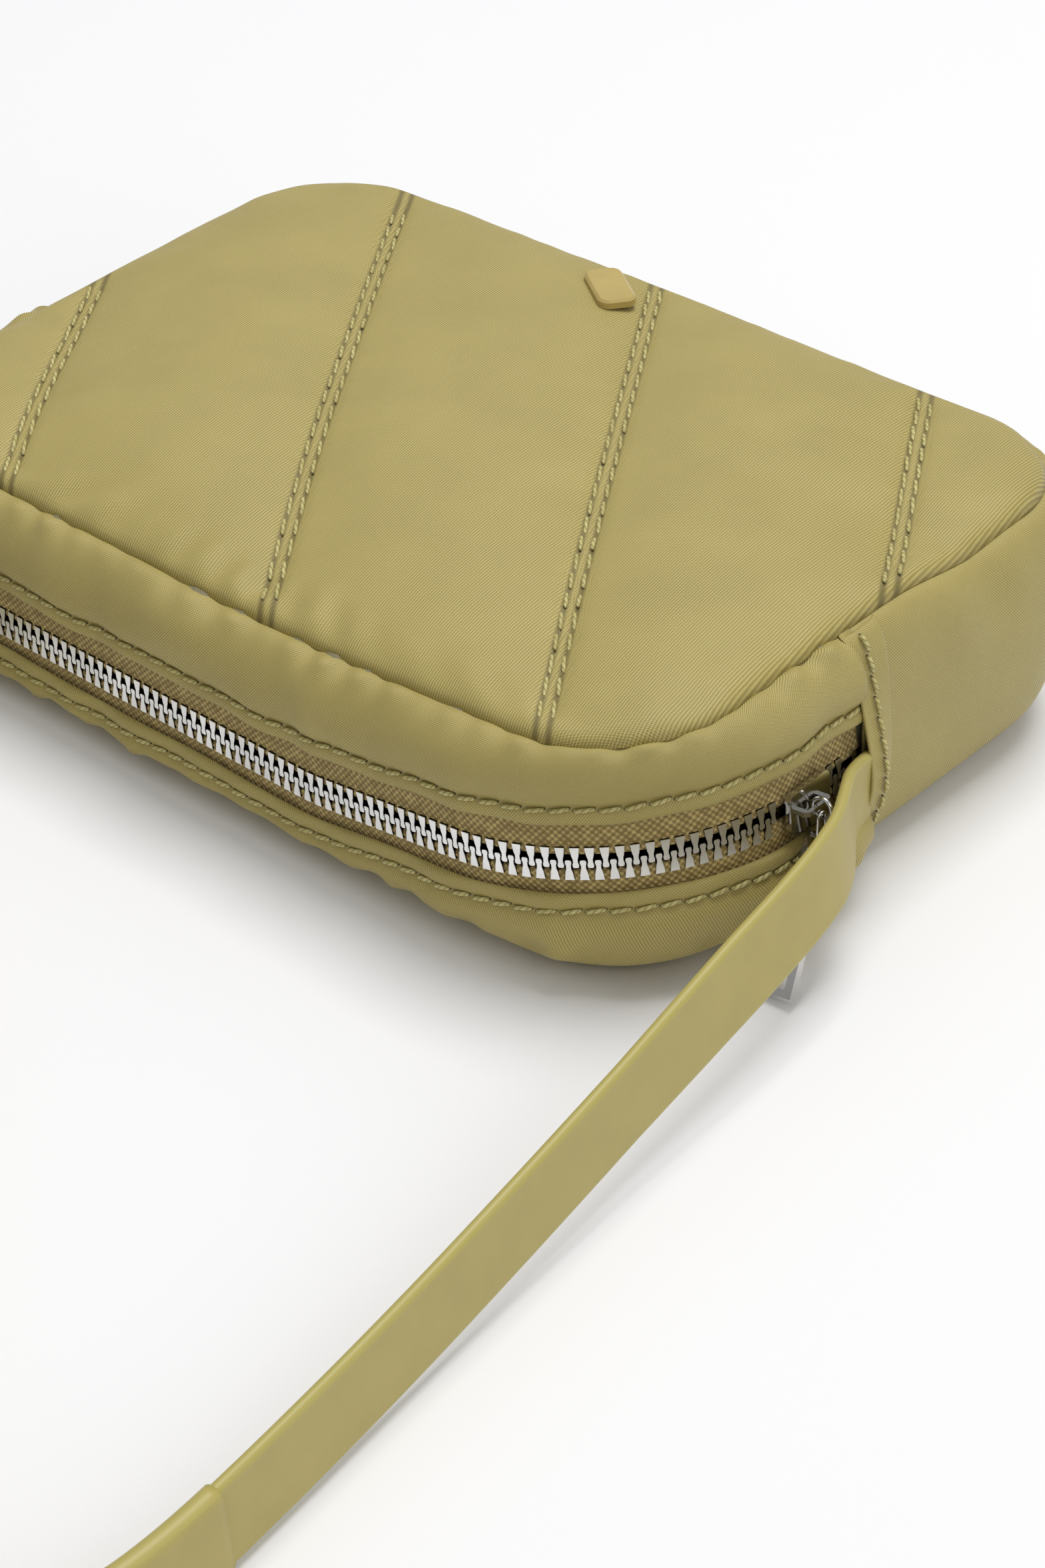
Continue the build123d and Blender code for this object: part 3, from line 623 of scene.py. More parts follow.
def strap_lean(run):
    """Lean of the strap's upper edge towards the purse, in radians, at distances along it."""
    return np.radians(np.interp(run, [0, 10, 26, 55, 90, 190, 240, 300], [0, 5, 15, 15, 9, 6, 2, 0]))


def strap_frames(line, run):
    """Across (upper edge) and outward directions along the strap.

    The flat of the strap stands upright along its line and leans about it; on the right-hand side
    of the purse its upper edge leans inwards.
    """
    ahead = unit(np.gradient(line, axis=0))
    side = unit(np.cross(ahead, UP))
    upright = unit(np.cross(side, ahead))
    lean = strap_lean(run)[:, None]
    across = unit(upright * np.cos(lean) + side * np.sin(lean))
    return across, unit(np.cross(across, ahead))


def strap_section(width, thickness):
    """Closed section of the strap.

    Two flat faces, a bell-shaped pressed line near the upper edge, and half-circle edges.
    """
    half, rim = width / 2, thickness / 2
    round_edge = np.linspace(-np.pi / 2, np.pi / 2, 9)
    crease = half - rim - 1.1
    beside = np.array([-0.9, -0.45, -0.2, 0.0, 0.2, 0.45, 0.9])
    flat = np.concatenate([[rim - half], beside - crease, np.linspace(2.0 - crease, crease - 2.0, 5),
                           beside + crease, [half - rim]])
    dent = 0.02 * bell(flat, crease, 0.22)
    face = np.stack([flat, rim - dent], 1)
    edge = np.stack([half - rim + rim * np.cos(round_edge), -rim * np.sin(round_edge)], 1)[1:-1]
    return np.concatenate([face, edge, face[::-1] * [1, -1], edge[::-1] * [-1, 1]])


def ribbon(name, line, run, width, thickness, finish_used, shift=0.0, **rest):
    """Strap section carried along a line, its ends closed with drawn-in rings."""
    across, out = strap_frames(line, run)
    section = strap_section(width, thickness)
    ends = np.ones(len(line))
    ends[0] = ends[-1] = 0.02
    line = line + out * shift
    points = (line[:, None] + section[None, :, 0:1] * across[:, None] * ends[:, None, None]
              + section[None, :, 1:2] * out[:, None] * ends[:, None, None])
    ring = np.concatenate([section, section[:1]])
    around = np.concatenate([[0.0], np.cumsum(np.linalg.norm(np.diff(ring, axis=0), axis=1))])
    uv = np.stack(np.meshgrid(around, run), -1)
    return lattice(name, points, uv, finish_used, line[:, None], wrap=True, **rest)


def leather():
    """Smooth olive leather whose cut edges are painted a shade lighter."""
    made = finish("olive_leather", SPECKS, (0.400, 0.328, 0.100), (0.435, 0.358, 0.112), 0.44, 0.12,
                  0.00005)
    tree = made.node_tree
    shader = tree.nodes["Principled BSDF"]
    body = shader.inputs["Base Color"].links[0].from_socket
    place = tree.nodes.new("ShaderNodeTexCoord")
    split = tree.nodes.new("ShaderNodeSeparateXYZ")
    tree.links.new(place.outputs["UV"], split.inputs[0])
    flat = (STRAP_W - STRAP_T) * MM
    turn = flat + (STRAP_T / 2) * MM * np.pi
    along = maths(tree, "MODULO", split.outputs[0], turn)
    edge = maths(tree, "GREATER_THAN", along, flat - 0.0001)
    tree.links.new(ramp(tree, edge, 0.0, 1.0, body, (0.43, 0.365, 0.105)), shader.inputs["Base Color"])
    return made


LEATHER = leather()
strap = ribbon("strap_band", STRAP_LINE, STRAP_RUN, STRAP_W, STRAP_T, LEATHER, slot="strap_leather")
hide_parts("strap_root_right", "strap_root_left", "strap_front_run", "strap_back_run", "strap_hank")

# stitched overlap where the strap's two lengths meet
near_sleeve = ((STRAP_LINE[:, 1] < OVERLAP_Y[1]) & (STRAP_LINE[:, 1] > OVERLAP_Y[0])
               & (STRAP_RUN < BEFORE_FOLDS))
sleeve = ribbon("strap_overlap", STRAP_LINE[near_sleeve], STRAP_RUN[near_sleeve], STRAP_W + 0.5,
                STRAP_T + 1.7, LEATHER, slot="strap_leather")
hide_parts("strap_sleeve")


def hank_tie(along, width, radius=2.5):
    """Band round the folded strap: a rounded rectangle across it, carried a short way along it."""
    low, high, near, far = 0.6, 17.4, -2.4, 20.4
    corners = [(far - radius, high - radius, 0), (near + radius, high - radius, 1),
               (near + radius, low + radius, 2), (far - radius, low + radius, 3)]
    quarter = np.linspace(0, np.pi / 2, 7)
    loop = np.concatenate([np.stack([b + radius * np.cos(quarter + k * np.pi / 2),
                                     z + radius * np.sin(quarter + k * np.pi / 2)], 1)
                           for b, z, k in corners])
    run = np.linspace(-width / 2, width / 2, 5)
    base = HANK_START / MM + HANK_AHEAD * along
    points = (base * [1, 1, 0] + HANK_AHEAD * run[:, None, None] + HANK_SIDE * loop[None, :, 0:1]
              + UP * loop[None, :, 1:2])
    uv = grid_uv(np.concatenate([points, points[:, :1]], 1))
    tie = lattice("hank_tie", points, uv, LEATHER, points.mean((0, 1)), wrap=True, slot="strap_leather")
    return wall_thickness(tie, 0.9)


tie = hank_tie(118.0, 7.0)


# ---- quilted front panel --------------------------------------------------------------------------
QUILT_LINES = [((-55.6, -65.8), (-99.7, -1.2)), ((15.1, -66.8), (-72.7, 63.0)),
               ((80.3, -66.3), (-5.6, 67.9)), ((101.4, 2.6), (62.2, 68.5))]
QUILT_ROWS = 1.2            # middle of a pair of stitch rows to each row
QUILT_PITCH = 6.2
PANEL_MIDDLE_Z = 50.6
EDGE_RISE = 3.3
EDGE_ROUND = 7.0
PANEL_CROWN = 1.0
PANEL_CLOTH = 0.5           # thickness of the panels' outer cloth


def square_onto_outline(across, down, inset=0.0):
    """Grid over the panel: each square ring of a unit square becomes a smaller copy of the outline."""
    u, v = np.meshgrid(np.linspace(-1, 1, across), np.linspace(-1, 1, down))
    ring = np.maximum(np.maximum(abs(u), abs(v)), 1e-9)
    a, b = u / ring, v / ring
    run, x, y = outline_table(SEAM_HALF_X - inset, SEAM_HALF_Y - inset, SEAM_R - inset, SEAM_MID_Y)
    tall = 2 * (SEAM_HALF_Y - SEAM_R) + np.pi / 2 * (SEAM_R - inset)
    wide = 2 * (SEAM_HALF_X - SEAM_R) + np.pi / 2 * (SEAM_R - inset)
    on_right, on_left = a >= 1 - 1e-9, a <= -1 + 1e-9
    on_far = (b >= 1 - 1e-9) & ~on_right & ~on_left
    place = 2 * tall + wide + wide * (a + 1) / 2
    place = np.where(on_far, tall + wide * (1 - a) / 2, place)
    place = np.where(on_left, tall + wide + tall * (1 - b) / 2, place)
    place = np.where(on_right, tall * (b + 1) / 2, place)
    place = np.mod(place, run[-1])
    edge_x, edge_y = np.interp(place, run, x), np.interp(place, run, y)
    return ring * edge_x, SEAM_MID_Y + ring * (edge_y - SEAM_MID_Y), ring


def seam_distance(x, y):
    """Distance inside the panel's seam."""
    qx = abs(x) - (SEAM_HALF_X - SEAM_R)
    qy = abs(y - SEAM_MID_Y) - (SEAM_HALF_Y - SEAM_R)
    outside = np.hypot(np.maximum(qx, 0), np.maximum(qy, 0))
    return SEAM_R - outside - np.minimum(np.maximum(qx, qy), 0)


def quilt_distance(x, y):
    """Signed distance to the middle of the nearest pair of stitch rows, and the place along it."""
    best, along = np.full(np.shape(x), 1e3), np.zeros(np.shape(x))
    for (x0, y0), (x1, y1) in QUILT_LINES:
        ahead = unit(np.array([x1 - x0, y1 - y0]))
        side = (x - x0) * ahead[1] - (y - y0) * ahead[0]
        closer = abs(side) < abs(best)
        best = np.where(closer, side, best)
        along = np.where(closer, (x - x0) * ahead[0] + (y - y0) * ahead[1], along)
    return best, along


def round_edge(inside, radius):
    """Quarter circle from 0 at the seam to 1 at one radius inside it."""
    return np.sqrt(np.maximum(1 - (1 - np.clip(inside / radius, 0, 1)) ** 2, 0))


def panel_height(x, y, ring):
    """Height of the quilted panel.

    The seam's own height blends to the middle's with the square of the ring; to that are added
    a rounded edge, a low crown, a shallow valley along each pair of stitch rows with a sharper
    dip at each row, and short gathers that fade within a few millimetres of the seam.
    """
    level = PANEL_MIDDLE_Z + (rim_height(x, y) - PANEL_MIDDLE_Z) * ring ** 2
    inside = seam_distance(x, y)
    height = level + EDGE_RISE * round_edge(inside, EDGE_ROUND) + PANEL_CROWN * (1 - ring ** 2)
    side, along = quilt_distance(x, y)
    rows = abs(abs(side) - QUILT_ROWS)
    open_panel = smooth_step(inside, 0.5, 6)
    beyond = np.maximum(abs(side) - QUILT_ROWS, 0)
    height -= open_panel * (1.45 * np.exp(-beyond / 7.5) + 0.5 * bell(rows, 0, 0.8))
    pucker = ripples(along, 11, 3.4, 9.0) * np.exp(-beyond / 2.6)
    height += 0.09 * open_panel * pucker * smooth_step(abs(side), 0.2, 2.2)
    around = bearing(x, y) * 85
    gathers = ripples(around, 5, 8.0, 19.0) * bell(inside, 4.0, 4.2)
    nearer = smooth_step(-y, 20, 60)
    near = 0.35 + 0.65 * nearer + 0.5 * smooth_step(x, 30, 80) * nearer
    height += 0.42 * gathers * near * smooth_step(inside, 0, 2.5)
    return height


def settle(points, held, pressure, slack, frames, cap):
    """Lets a cloth grid puff up under air pressure, held where it is sewn; returns how far it moved.

    The cloth is slightly larger than the shape it hangs on, so it gathers by itself. It is run at
    ten times its size, and no point may move further than cap.
    """
    rows, cols = points.shape[:2]
    scale = 0.01
    faces = quads(rows, cols, False)[0]
    mesh = bpy.data.meshes.new("settling")
    mesh.from_pydata((points.reshape(-1, 3) * scale).tolist(), [], faces.tolist())
    cloth = bpy.data.objects.new("settling", mesh)
    bpy.context.scene.collection.objects.link(cloth)
    group = cloth.vertex_groups.new(name="sewn")
    weights = held.ravel()
    for level in np.unique(np.round(weights, 1)):
        if level > 0:
            group.add(np.flatnonzero(np.round(weights, 1) == level).tolist(), float(level), "REPLACE")
    air = cloth.modifiers.new("cloth", "CLOTH")
    rule = air.settings
    rule.quality = 6
    rule.mass = 0.25
    rule.tension_stiffness = rule.compression_stiffness = 12
    rule.shear_stiffness = 4
    rule.bending_stiffness = 3.0
    rule.vertex_group_mass = "sewn"
    rule.pin_stiffness = 1.0
    rule.use_pressure = True
    rule.uniform_pressure_force = pressure
    rule.shrink_min = -slack
    rule.effector_weights.gravity = 0
    air.point_cache.frame_start, air.point_cache.frame_end = 1, frames
    for number in range(1, frames + 1):
        bpy.context.scene.frame_set(number)
    seen = cloth.evaluated_get(bpy.context.evaluated_depsgraph_get())
    ended = np.empty(rows * cols * 3)
    seen.data.vertices.foreach_get("co", ended)
    moved = ended.reshape(points.shape) / scale - points
    bpy.data.objects.remove(cloth)
    bpy.context.scene.frame_set(1)
    size = np.linalg.norm(moved, axis=-1, keepdims=True)
    return moved * np.minimum(1, cap / np.maximum(size, 1e-9))


def calmed(grid, turns):
    """Grid of values averaged with its four neighbours, a few times over."""
    for _ in range(turns):
        wide = np.pad(grid, ((1, 1), (1, 1), (0, 0)), "edge")
        grid = (grid * 2 + wide[2:, 1:-1] + wide[:-2, 1:-1] + wide[1:-1, 2:] + wide[1:-1, :-2]) / 6
    return grid


def finer(grid, rows, cols):
    """Grid of values stretched over more rows and columns by straight lines between its own."""
    old_rows, old_cols = grid.shape[:2]
    r = np.linspace(0, old_rows - 1, rows)
    c = np.linspace(0, old_cols - 1, cols)
    r0, c0 = np.minimum(r.astype(int), old_rows - 2), np.minimum(c.astype(int), old_cols - 2)
    fr, fc = (r - r0)[:, None, None], (c - c0)[None, :, None]
    top = grid[r0][:, c0] * (1 - fc) + grid[r0][:, c0 + 1] * fc
    low = grid[r0 + 1][:, c0] * (1 - fc) + grid[r0 + 1][:, c0 + 1] * fc
    return top * (1 - fr) + low * fr


def puffed_panel():
    """How far the quilted cloth puffs between its stitch rows, on a coarse grid."""
    x, y, ring = square_onto_outline(105, 71)
    points = np.stack([x, y, panel_height(x, y, ring)], -1)
    side, _ = quilt_distance(x, y)
    held = np.maximum(smooth_step(-seam_distance(x, y), -1.5, -0.2), 0.9 * bell(abs(side), 0, 1.6))
    moved = settle(points, held, pressure=1.3, slack=0.004, frames=24, cap=4.0)
    return calmed(moved, 10) * (1 - held[..., None] ** 2)


def build_quilt_rows(tree, start, end):
    """Distance to the nearest quilting row: how far the distance to a pair's middle is from a row's."""
    nearest = None
    for first, last in QUILT_LINES:
        ahead = unit(np.subtract(last, first))
        side = np.array([ahead[1], -ahead[0]])
        across = tree.nodes.new("ShaderNodeVectorMath")
        across.operation = "DOT_PRODUCT"
        tree.links.new(start.outputs["Vector"], across.inputs[0])
        across.inputs[1].default_value = (*side, 0.0)
        offset = maths(tree, "SUBTRACT", across.outputs["Value"], float(side @ first) * MM)
        pair = maths(tree, "ABSOLUTE", offset)
        row = maths(tree, "ABSOLUTE", maths(tree, "SUBTRACT", pair, QUILT_ROWS * MM))
        nearest = row if nearest is None else maths(tree, "MINIMUM", nearest, row)
    tree.links.new(nearest, end.inputs["Distance"])


def quilted_nylon_painted_row_shade():
    """The purse's nylon with painted shade: a darker line along each quilting row, in the grooves that the
    rows pull into it.
    """
    made = finish("quilted_nylon_painted_row_shade", pitch=PANEL_RIBS, **NYLON_LOOK)
    tree = made.node_tree
    shader = tree.nodes["Principled BSDF"]
    cloth = shader.inputs["Base Color"].links[0].from_socket
    rows = tree.nodes.new("ShaderNodeGroup")
    rows.node_tree = node_group("quilt_rows", [("Vector", "v", None)], [("Distance", "f")], build_quilt_rows)
    tree.links.new(tree.nodes["Texture Coordinate"].outputs["UV"], rows.inputs["Vector"])
    # painted shade: the cloth's colour darkens within a millimetre of each quilting row
    tree.links.new(ramp(tree, rows.outputs["Distance"], 0.0001, 0.0010, (0.185, 0.146, 0.040), cloth),
                   shader.inputs["Base Color"])
    return made


PANEL_COLS, PANEL_ROWS = 205, 139
panel_x, panel_y, panel_ring = square_onto_outline(PANEL_COLS, PANEL_ROWS)
panel = np.stack([panel_x, panel_y, panel_height(panel_x, panel_y, panel_ring)], -1)
panel = panel + finer(puffed_panel(), PANEL_ROWS, PANEL_COLS)
plan_uv = np.stack([panel_x, panel_y], -1)
front_cover = lattice("front_panel_quilting", panel, plan_uv, quilted_nylon_painted_row_shade(), (0, 0, 20), slot="nylon")
wall_thickness(front_cover, PANEL_CLOTH)
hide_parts("front_panel_cover")


def under_panel(name, inset, drop, thickness, finish_used, slot, node, top=True):
    """Layer with the panel's outline, drawn in and dropped below the outer cloth."""
    x, y, ring = square_onto_outline(69, 47, inset)
    if top:
        z = PANEL_MIDDLE_Z + (rim_height(x, y) - PANEL_MIDDLE_Z) * ring ** 2 - drop
    else:
        z = np.full_like(x, drop)
    points = np.stack([x, y, z], -1)
    piece = lattice(name, points, np.stack([x, y], -1), finish_used, (0, 0, 20 if top else 30), slot=slot)
    wall_thickness(piece, thickness)
    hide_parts(node)
    return piece


wadding = under_panel("front_wadding", 3.0, -0.3, 2.6, WADDING, "wadding", "front_panel_wadding")
under_panel("front_lining", 2.2, 1.8, 0.5, LINING, "lining", "front_panel_lining")
under_panel("back_lining", 2.2, 4.2, 0.5, LINING, "lining", "back_panel_lining", top=False)
under_panel("back_stiffener", 2.6, 1.6, 1.4, STIFFENER, "stiffener", "back_panel_stiffener", top=False)


def back_height(x, y):
    """Height of the back panel, which lies on the table: flat, with a rounded edge and slight dents."""
    inside = seam_distance(x, y) - 1.0
    flat = BACK_SEAM_Z - 3.3 * round_edge(inside, 5.0)
    return flat + 0.12 * ripples(x * 0.8 + y * 0.5, 31, 30, 70) * smooth_step(inside, 4, 14)


back_x, back_y, _ = square_onto_outline(137, 93, 1.0)
back = np.stack([back_x, back_y, np.maximum(back_height(back_x, back_y), 0.12)], -1)
back_cover = lattice("back_panel", back, np.stack([back_x, back_y], -1), NYLON, (0, 0, 30), slot="nylon")
wall_thickness(back_cover, PANEL_CLOTH)
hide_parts("back_panel_cover")


# ---- side walls --------------------------------------------------------------------------------------
def bulge(foot, foot_way, head, head_way, t):
    """Cubic between two edges of a strip, with a leaving direction at each; t runs from 0 to 1."""
    span = np.linalg.norm(head - foot, axis=-1)[:, None]
    a, b = foot[:, None], head[:, None]
    p, q = (foot_way * span)[:, None], (head_way * span)[:, None]
    t = np.asarray(t)[None, :, None]
    return ((2 * t ** 3 - 3 * t ** 2 + 1) * a + (t ** 3 - 2 * t ** 2 + t) * p
            + (3 * t ** 2 - 2 * t ** 3) * b + (t ** 3 - t ** 2) * q)


def top_seam(x, y, inset=0.9, sink=0.2):
    """Points just under the panel's edge nearest to plan points, and the outward directions there."""
    seam_x, seam_y, out = onto_seam(x, y, inset)
    return np.stack([seam_x, seam_y, rim_height(seam_x, seam_y) - sink], -1), out


def low_seam(x, y):
    """Points of the back seam nearest to plan points."""
    seam_x, seam_y, _ = onto_seam(x, y, 1.0)
    return np.stack([seam_x, seam_y, np.full_like(seam_x, BACK_SEAM_Z)], -1)


LIP = np.array([(0.75, 4.6), (0.75, 2.6), (0.75, 0.9), (0.85, 0.25), (1.15, 0.0), (1.55, 0.16), (1.85, 0.6),
                (2.0, 1.3), (1.92, 2.1), (1.62, 2.8), (1.35, TOPSTITCH), (1.55, 3.8)])
STITCH_ROW = 10             # place of the topstitch in the lip
LIP_END = 4.3


def facing(upper, inset=0.0, samples=440, rows=26):
    """Strip of cloth from its folded edge beside the zip to the front or back seam.

    Across the strip the cloth comes back under itself, turns round the fold, dips at the
    topstitching and then bulges to the seam, where short gathers pull it in.
    """
    d = np.linspace(0.0, ZIP_LENGTH, samples)
    origin, out, up = on_zip(d)
    rise = up if upper else -up
    edge = FACING_UP if upper else FACING_DOWN
    seed = 3 if upper else 4
    wander = 0.22 * ripples(d, seed, 14, 60)[:, None]
    edge_at = edge + wander
    ease = 0.3 * ripples(d, seed + 10, 9, 30)[:, None] + 0.25
    lip_out, lip_up = LIP[None, :, 0:1], LIP[None, :, 1:2]
    lip = (origin[:, None] + out[:, None] * (lip_out + ease[:, None] * smooth_step(lip_out, 0.8, 1.8))
           + rise[:, None] * (edge_at[:, None] + lip_up))
    foot = origin + out * (1.8 + ease) + rise * (edge_at + LIP_END)
    if upper:
        head, plan_out = top_seam(origin[:, 0], origin[:, 1])
        foot_way = rise * 0.85 + out * 0.85
        head_way = -plan_out * 1.05 - UP * 0.55
    else:
        head = low_seam(origin[:, 0], origin[:, 1])
        plan_out = onto_seam(origin[:, 0], origin[:, 1])[2]
        foot_way = rise * 0.9 + out * 0.75
        head_way = -plan_out * 1.1 - UP * 0.1
    t = np.linspace(0, 1, rows) ** 0.9
    body = bulge(foot, foot_way, head, head_way, t)
    tuck = ripples(d, seed + 20, 7, 17)[:, None] * bell(t, 0.86 if upper else 0.5, 0.17)[None]
    soft = ripples(d, seed + 30, 28, 90)[:, None] * bell(t, 0.5, 0.3)[None]
    drag = ripples(d, seed + 40, 5, 12)[:, None] * np.exp(-t * 7)[None]
    push = 0.85 * tuck + 0.7 * soft + 0.2 * drag
    body = body + (out * 0.8 + UP * (0.4 if upper else 0))[:, None] * push[..., None]
    strip = np.concatenate([lip, body], 1).transpose(1, 0, 2)
    if inset:
        strip = strip[STITCH_ROW:] - (out * inset)[None]
    return strip


def facing_piece(name, upper, node):
    """Outer cloth beside the zip."""
    strip = facing(upper)
    piece = lattice(name, strip, grid_uv(strip), WALL_NYLON, CLOTH_MIDDLE, slot="nylon")
    wall_thickness(piece, 0.35)
    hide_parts(node)
    return strip


upper_facing = facing_piece("upper_zip_facing", True, "zip_facing_front")
lower_facing = facing_piece("lower_zip_facing", False, "zip_facing_back")
for label, is_upper in (("front", True), ("back", False)):
    strip = facing(is_upper, inset=2.2, samples=150, rows=12)
    piece = lattice("zip_side_lining_" + label, strip, grid_uv(strip), LINING, CLOTH_MIDDLE, slot="lining")
    wall_thickness(piece, 0.4)
    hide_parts("zip_facing_lining_" + label)


def plain_wall(count, rows, grow=0.0, start=0.0, stop=1.0):
    """Plain side wall from one end seam round the far side to the other, or a share of it.

    It is a cubic across from seam to seam that bulges outwards, a little less within 45 mm of
    the end seams, with soft folds that lean along it.
    """
    run, x, y = outline_table(ZIP_HALF_X, (ZIP_HALF_Y + SEAM_FAR_Y + 1) / 2, 30.0, 0.5)
    first = np.interp(END_SEAM_Y + 0.2, y[:60][np.argsort(y[:60])], run[:60][np.argsort(y[:60])])
    beyond = (x < -ZIP_HALF_X + 1) & (y < 40)
    last = np.interp(-(END_SEAM_Y + 0.2), -y[beyond], run[beyond])
    s = first + (last - first) * np.linspace(start, stop, count)
    px, py = np.interp(s, run, x), np.interp(s, run, y)
    head, out = top_seam(px, py)
    foot = low_seam(px, py)
    t = np.linspace(0, 1, rows)
    ends = smooth_step(np.minimum(s - first, last - s), 0, 45)[:, None]
    full = 0.50 + 0.10 * ends + 0.03 * ripples(s, 51, 60, 160)[:, None]
    body = bulge(foot, out * full - UP * 0.05, head, -out * (full + 0.06) - UP * 0.12, t)
    soft = ripples(s, 52, 34, 90)[:, None] * bell(t, 0.55, 0.3)[None]
    lean = ripples(s[:, None] + 22 * t[None], 53, 16, 44) * bell(t, 0.78, 0.2)[None]
    tuck = ripples(s, 54, 7, 16)[:, None] * bell(t, 0.93, 0.07)[None]
    push = 0.75 * soft + 0.38 * lean + 0.22 * tuck + grow
    return (body + out[:, None] * push[..., None]).transpose(1, 0, 2)


plain = plain_wall(520, 52)
plain_piece = lattice("plain_side_wall", plain, grid_uv(plain), WALL_NYLON, CLOTH_MIDDLE, slot="nylon")
wall_thickness(plain_piece, 0.4)
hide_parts("plain_gusset")
inner = plain_wall(180, 18, -1.6)
piece = lattice("plain_side_lining", inner, grid_uv(inner), LINING, CLOTH_MIDDLE, slot="lining")
wall_thickness(piece, 0.4)
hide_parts("plain_gusset_lining")

# ---- zip tapes --------------------------------------------------------------------------------------
def tape(name, upper, node):
    """Woven tape beside the teeth: a thin strip that rises to a beaded edge at the teeth."""
    d = np.linspace(0.0, ZIP_LENGTH, 300)
    origin, out, up = on_zip(d)
    rise = up if upper else -up
    profile = np.array([(-0.45, 11.0), (-0.45, 5.0), (-0.55, 3.2), (-0.8, 2.4), (-0.6, 1.7), (0.0, 1.4),
                        (0.6, 1.7), (0.8, 2.4), (0.55, 3.2), (0.42, 4.2), (0.4, 6.0), (0.42, 8.0),
                        (0.45, 11.0)])
    strip = origin[:, None] + out[:, None] * profile[None, :, 0:1] + rise[:, None] * profile[None, :, 1:2]
    strip = strip.transpose(1, 0, 2)
    beside = np.stack([origin + rise * 6] * len(profile))
    piece = lattice(name, strip, grid_uv(strip), TAPE, beside, slot="zip_tape")
    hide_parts(node)


tape("upper_tape", True, "zip_tape_front")
tape("lower_tape", False, "zip_tape_back")


# ---- bands over the strap's ends -------------------------------------------------------------------
def end_band(name, share, side, node, root_z):
    """Folded end of the plain side wall, laid over the zip's end and the end of the strap.

    It follows the wall at its own height above it and swells where the strap goes under it.
    """
    wall = plain_wall(90, 60, 0.0, *share)[2:-2]
    if side < 0:
        wall = wall[:, ::-1]
    run = lengths(wall, 1)
    keep = run < 8.2
    wall, run = wall[:, keep], run[keep]
    height = wall[:, :1, 2]
    swell = 3.1 * bell(height, root_z, 8.6) ** 0.5 * smooth_step(9.0 - run[None], 0, 6)
    out = np.array([side, 0.0, 0.0])
    lift = 0.95 * np.ones_like(wall[..., 0]) + swell
    lift = lift * (1 - smooth_step(run[None], 6.6, 8.2) * 0.9)
    reach = 1.7 * (1 - smooth_step(run, 0, 8))[None, :, None]
    top = wall + out * lift[..., None] - np.array([0, 1.0, 0]) * reach
    fold = [top[:, :1] + out * depth + np.array([0, back, 0]) for depth, back in
            ((-0.9, 3.0), (-0.9, 0.5), (-0.65, -0.05), (-0.25, -0.2))]
    strip = np.concatenate([*fold, top], 1)
    piece = lattice(name, strip, grid_uv(strip), WALL_NYLON, (side * 60, 0, 25), slot="nylon")
    wall_thickness(piece, 0.3)
    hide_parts(node)
    return strip, run


band_right, band_run = end_band("end_band_near", (0.0, 0.06), 1, "end_band_right", 24.2)
band_left, _ = end_band("end_band_away", (0.94, 1.0), -1, "end_band_left", 22.0)


# ---- bindings inside --------------------------------------------------------------------------------
def binding(name, height, node):
    """Woven strip folded over the raw edges inside a seam."""
    _, x, y = outline_table(SEAM_HALF_X - 1.5, SEAM_HALF_Y - 1.5, SEAM_R - 1.5, SEAM_MID_Y)
    out = onto_seam(x, y)[2]
    z = rim_height(x, y) - 2.2 if height is None else np.full_like(x, height)
    profile = np.array([(0, 0), (-1.3, 0), (-1.5, -3), (-1.3, -6), (0, -6), (0.2, -3)])
    sign = 1 if height is None else -1
    ring = (np.stack([x, y, z], -1)[:-1, None] + out[:-1, None] * profile[None, :, 0:1]
            + UP * profile[None, :, 1:2] * sign)
    ring = np.concatenate([ring, ring[:1]])
    uv = grid_uv(np.concatenate([ring, ring[:, :1]], 1))
    piece = lattice(name, ring, uv, BINDING, ring.mean(1, keepdims=True), wrap=True, slot="binding")
    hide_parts(node)


binding("front_binding", None, "front_seam_binding")
binding("back_binding", BACK_SEAM_Z + 0.9, "back_seam_binding")


# ---- stitches -----------------------------------------------------------------------------------------
def stitches(name, middles, ahead, normal, half, radius=0.24, slant=0.0, body="bag"):
    """Row of sewing stitches: each is a capsule of rings that arches off the cloth and dives into it."""
    side = unit(np.cross(normal, ahead))
    ahead = unit(ahead * np.cos(slant) + side * np.sin(slant))
    side = unit(np.cross(normal, ahead))
    place = np.array([-1.0, -0.72, 0.0, 0.72, 1.0])
    thick = np.array([0.35, 0.9, 1.0, 0.9, 0.35]) * radius
    lift = np.array([-0.28, 0.02, 0.12, 0.02, -0.28])
    angle = np.arange(6) * np.pi / 3
    spine = (middles[:, None] + ahead[:, None] * (place * half)[None, :, None]
             + normal[:, None] * lift[None, :, None])
    ring = (np.cos(angle)[:, None] * side[:, None, None] + np.sin(angle)[:, None] * normal[:, None, None])
    points = spine[:, :, None] + ring * thick[None, :, None, None]
    faces, _ = quads(5, 6, True)
    caps = np.array([[0, 1, 2, 3], [0, 3, 4, 5]])
    one = np.concatenate([faces, caps, caps[:, ::-1] + 24])
    flat = points.reshape(-1, 3)
    every = (one[None] + np.arange(len(middles))[:, None, None] * 30).reshape(-1, 4)
    test = every[0]
    normal_0 = np.cross(flat[test[2]] - flat[test[0]], flat[test[3]] - flat[test[1]])
    if normal_0 @ (flat[test].mean(0) - flat[:30].mean(0)) < 0:
        every = every[:, ::-1]
    local = every % 30
    uv = np.stack([place[local // 6], (local % 6) / 6], -1).reshape(-1, 2)
    return put(name, flat, every, uv, THREAD, body=body)


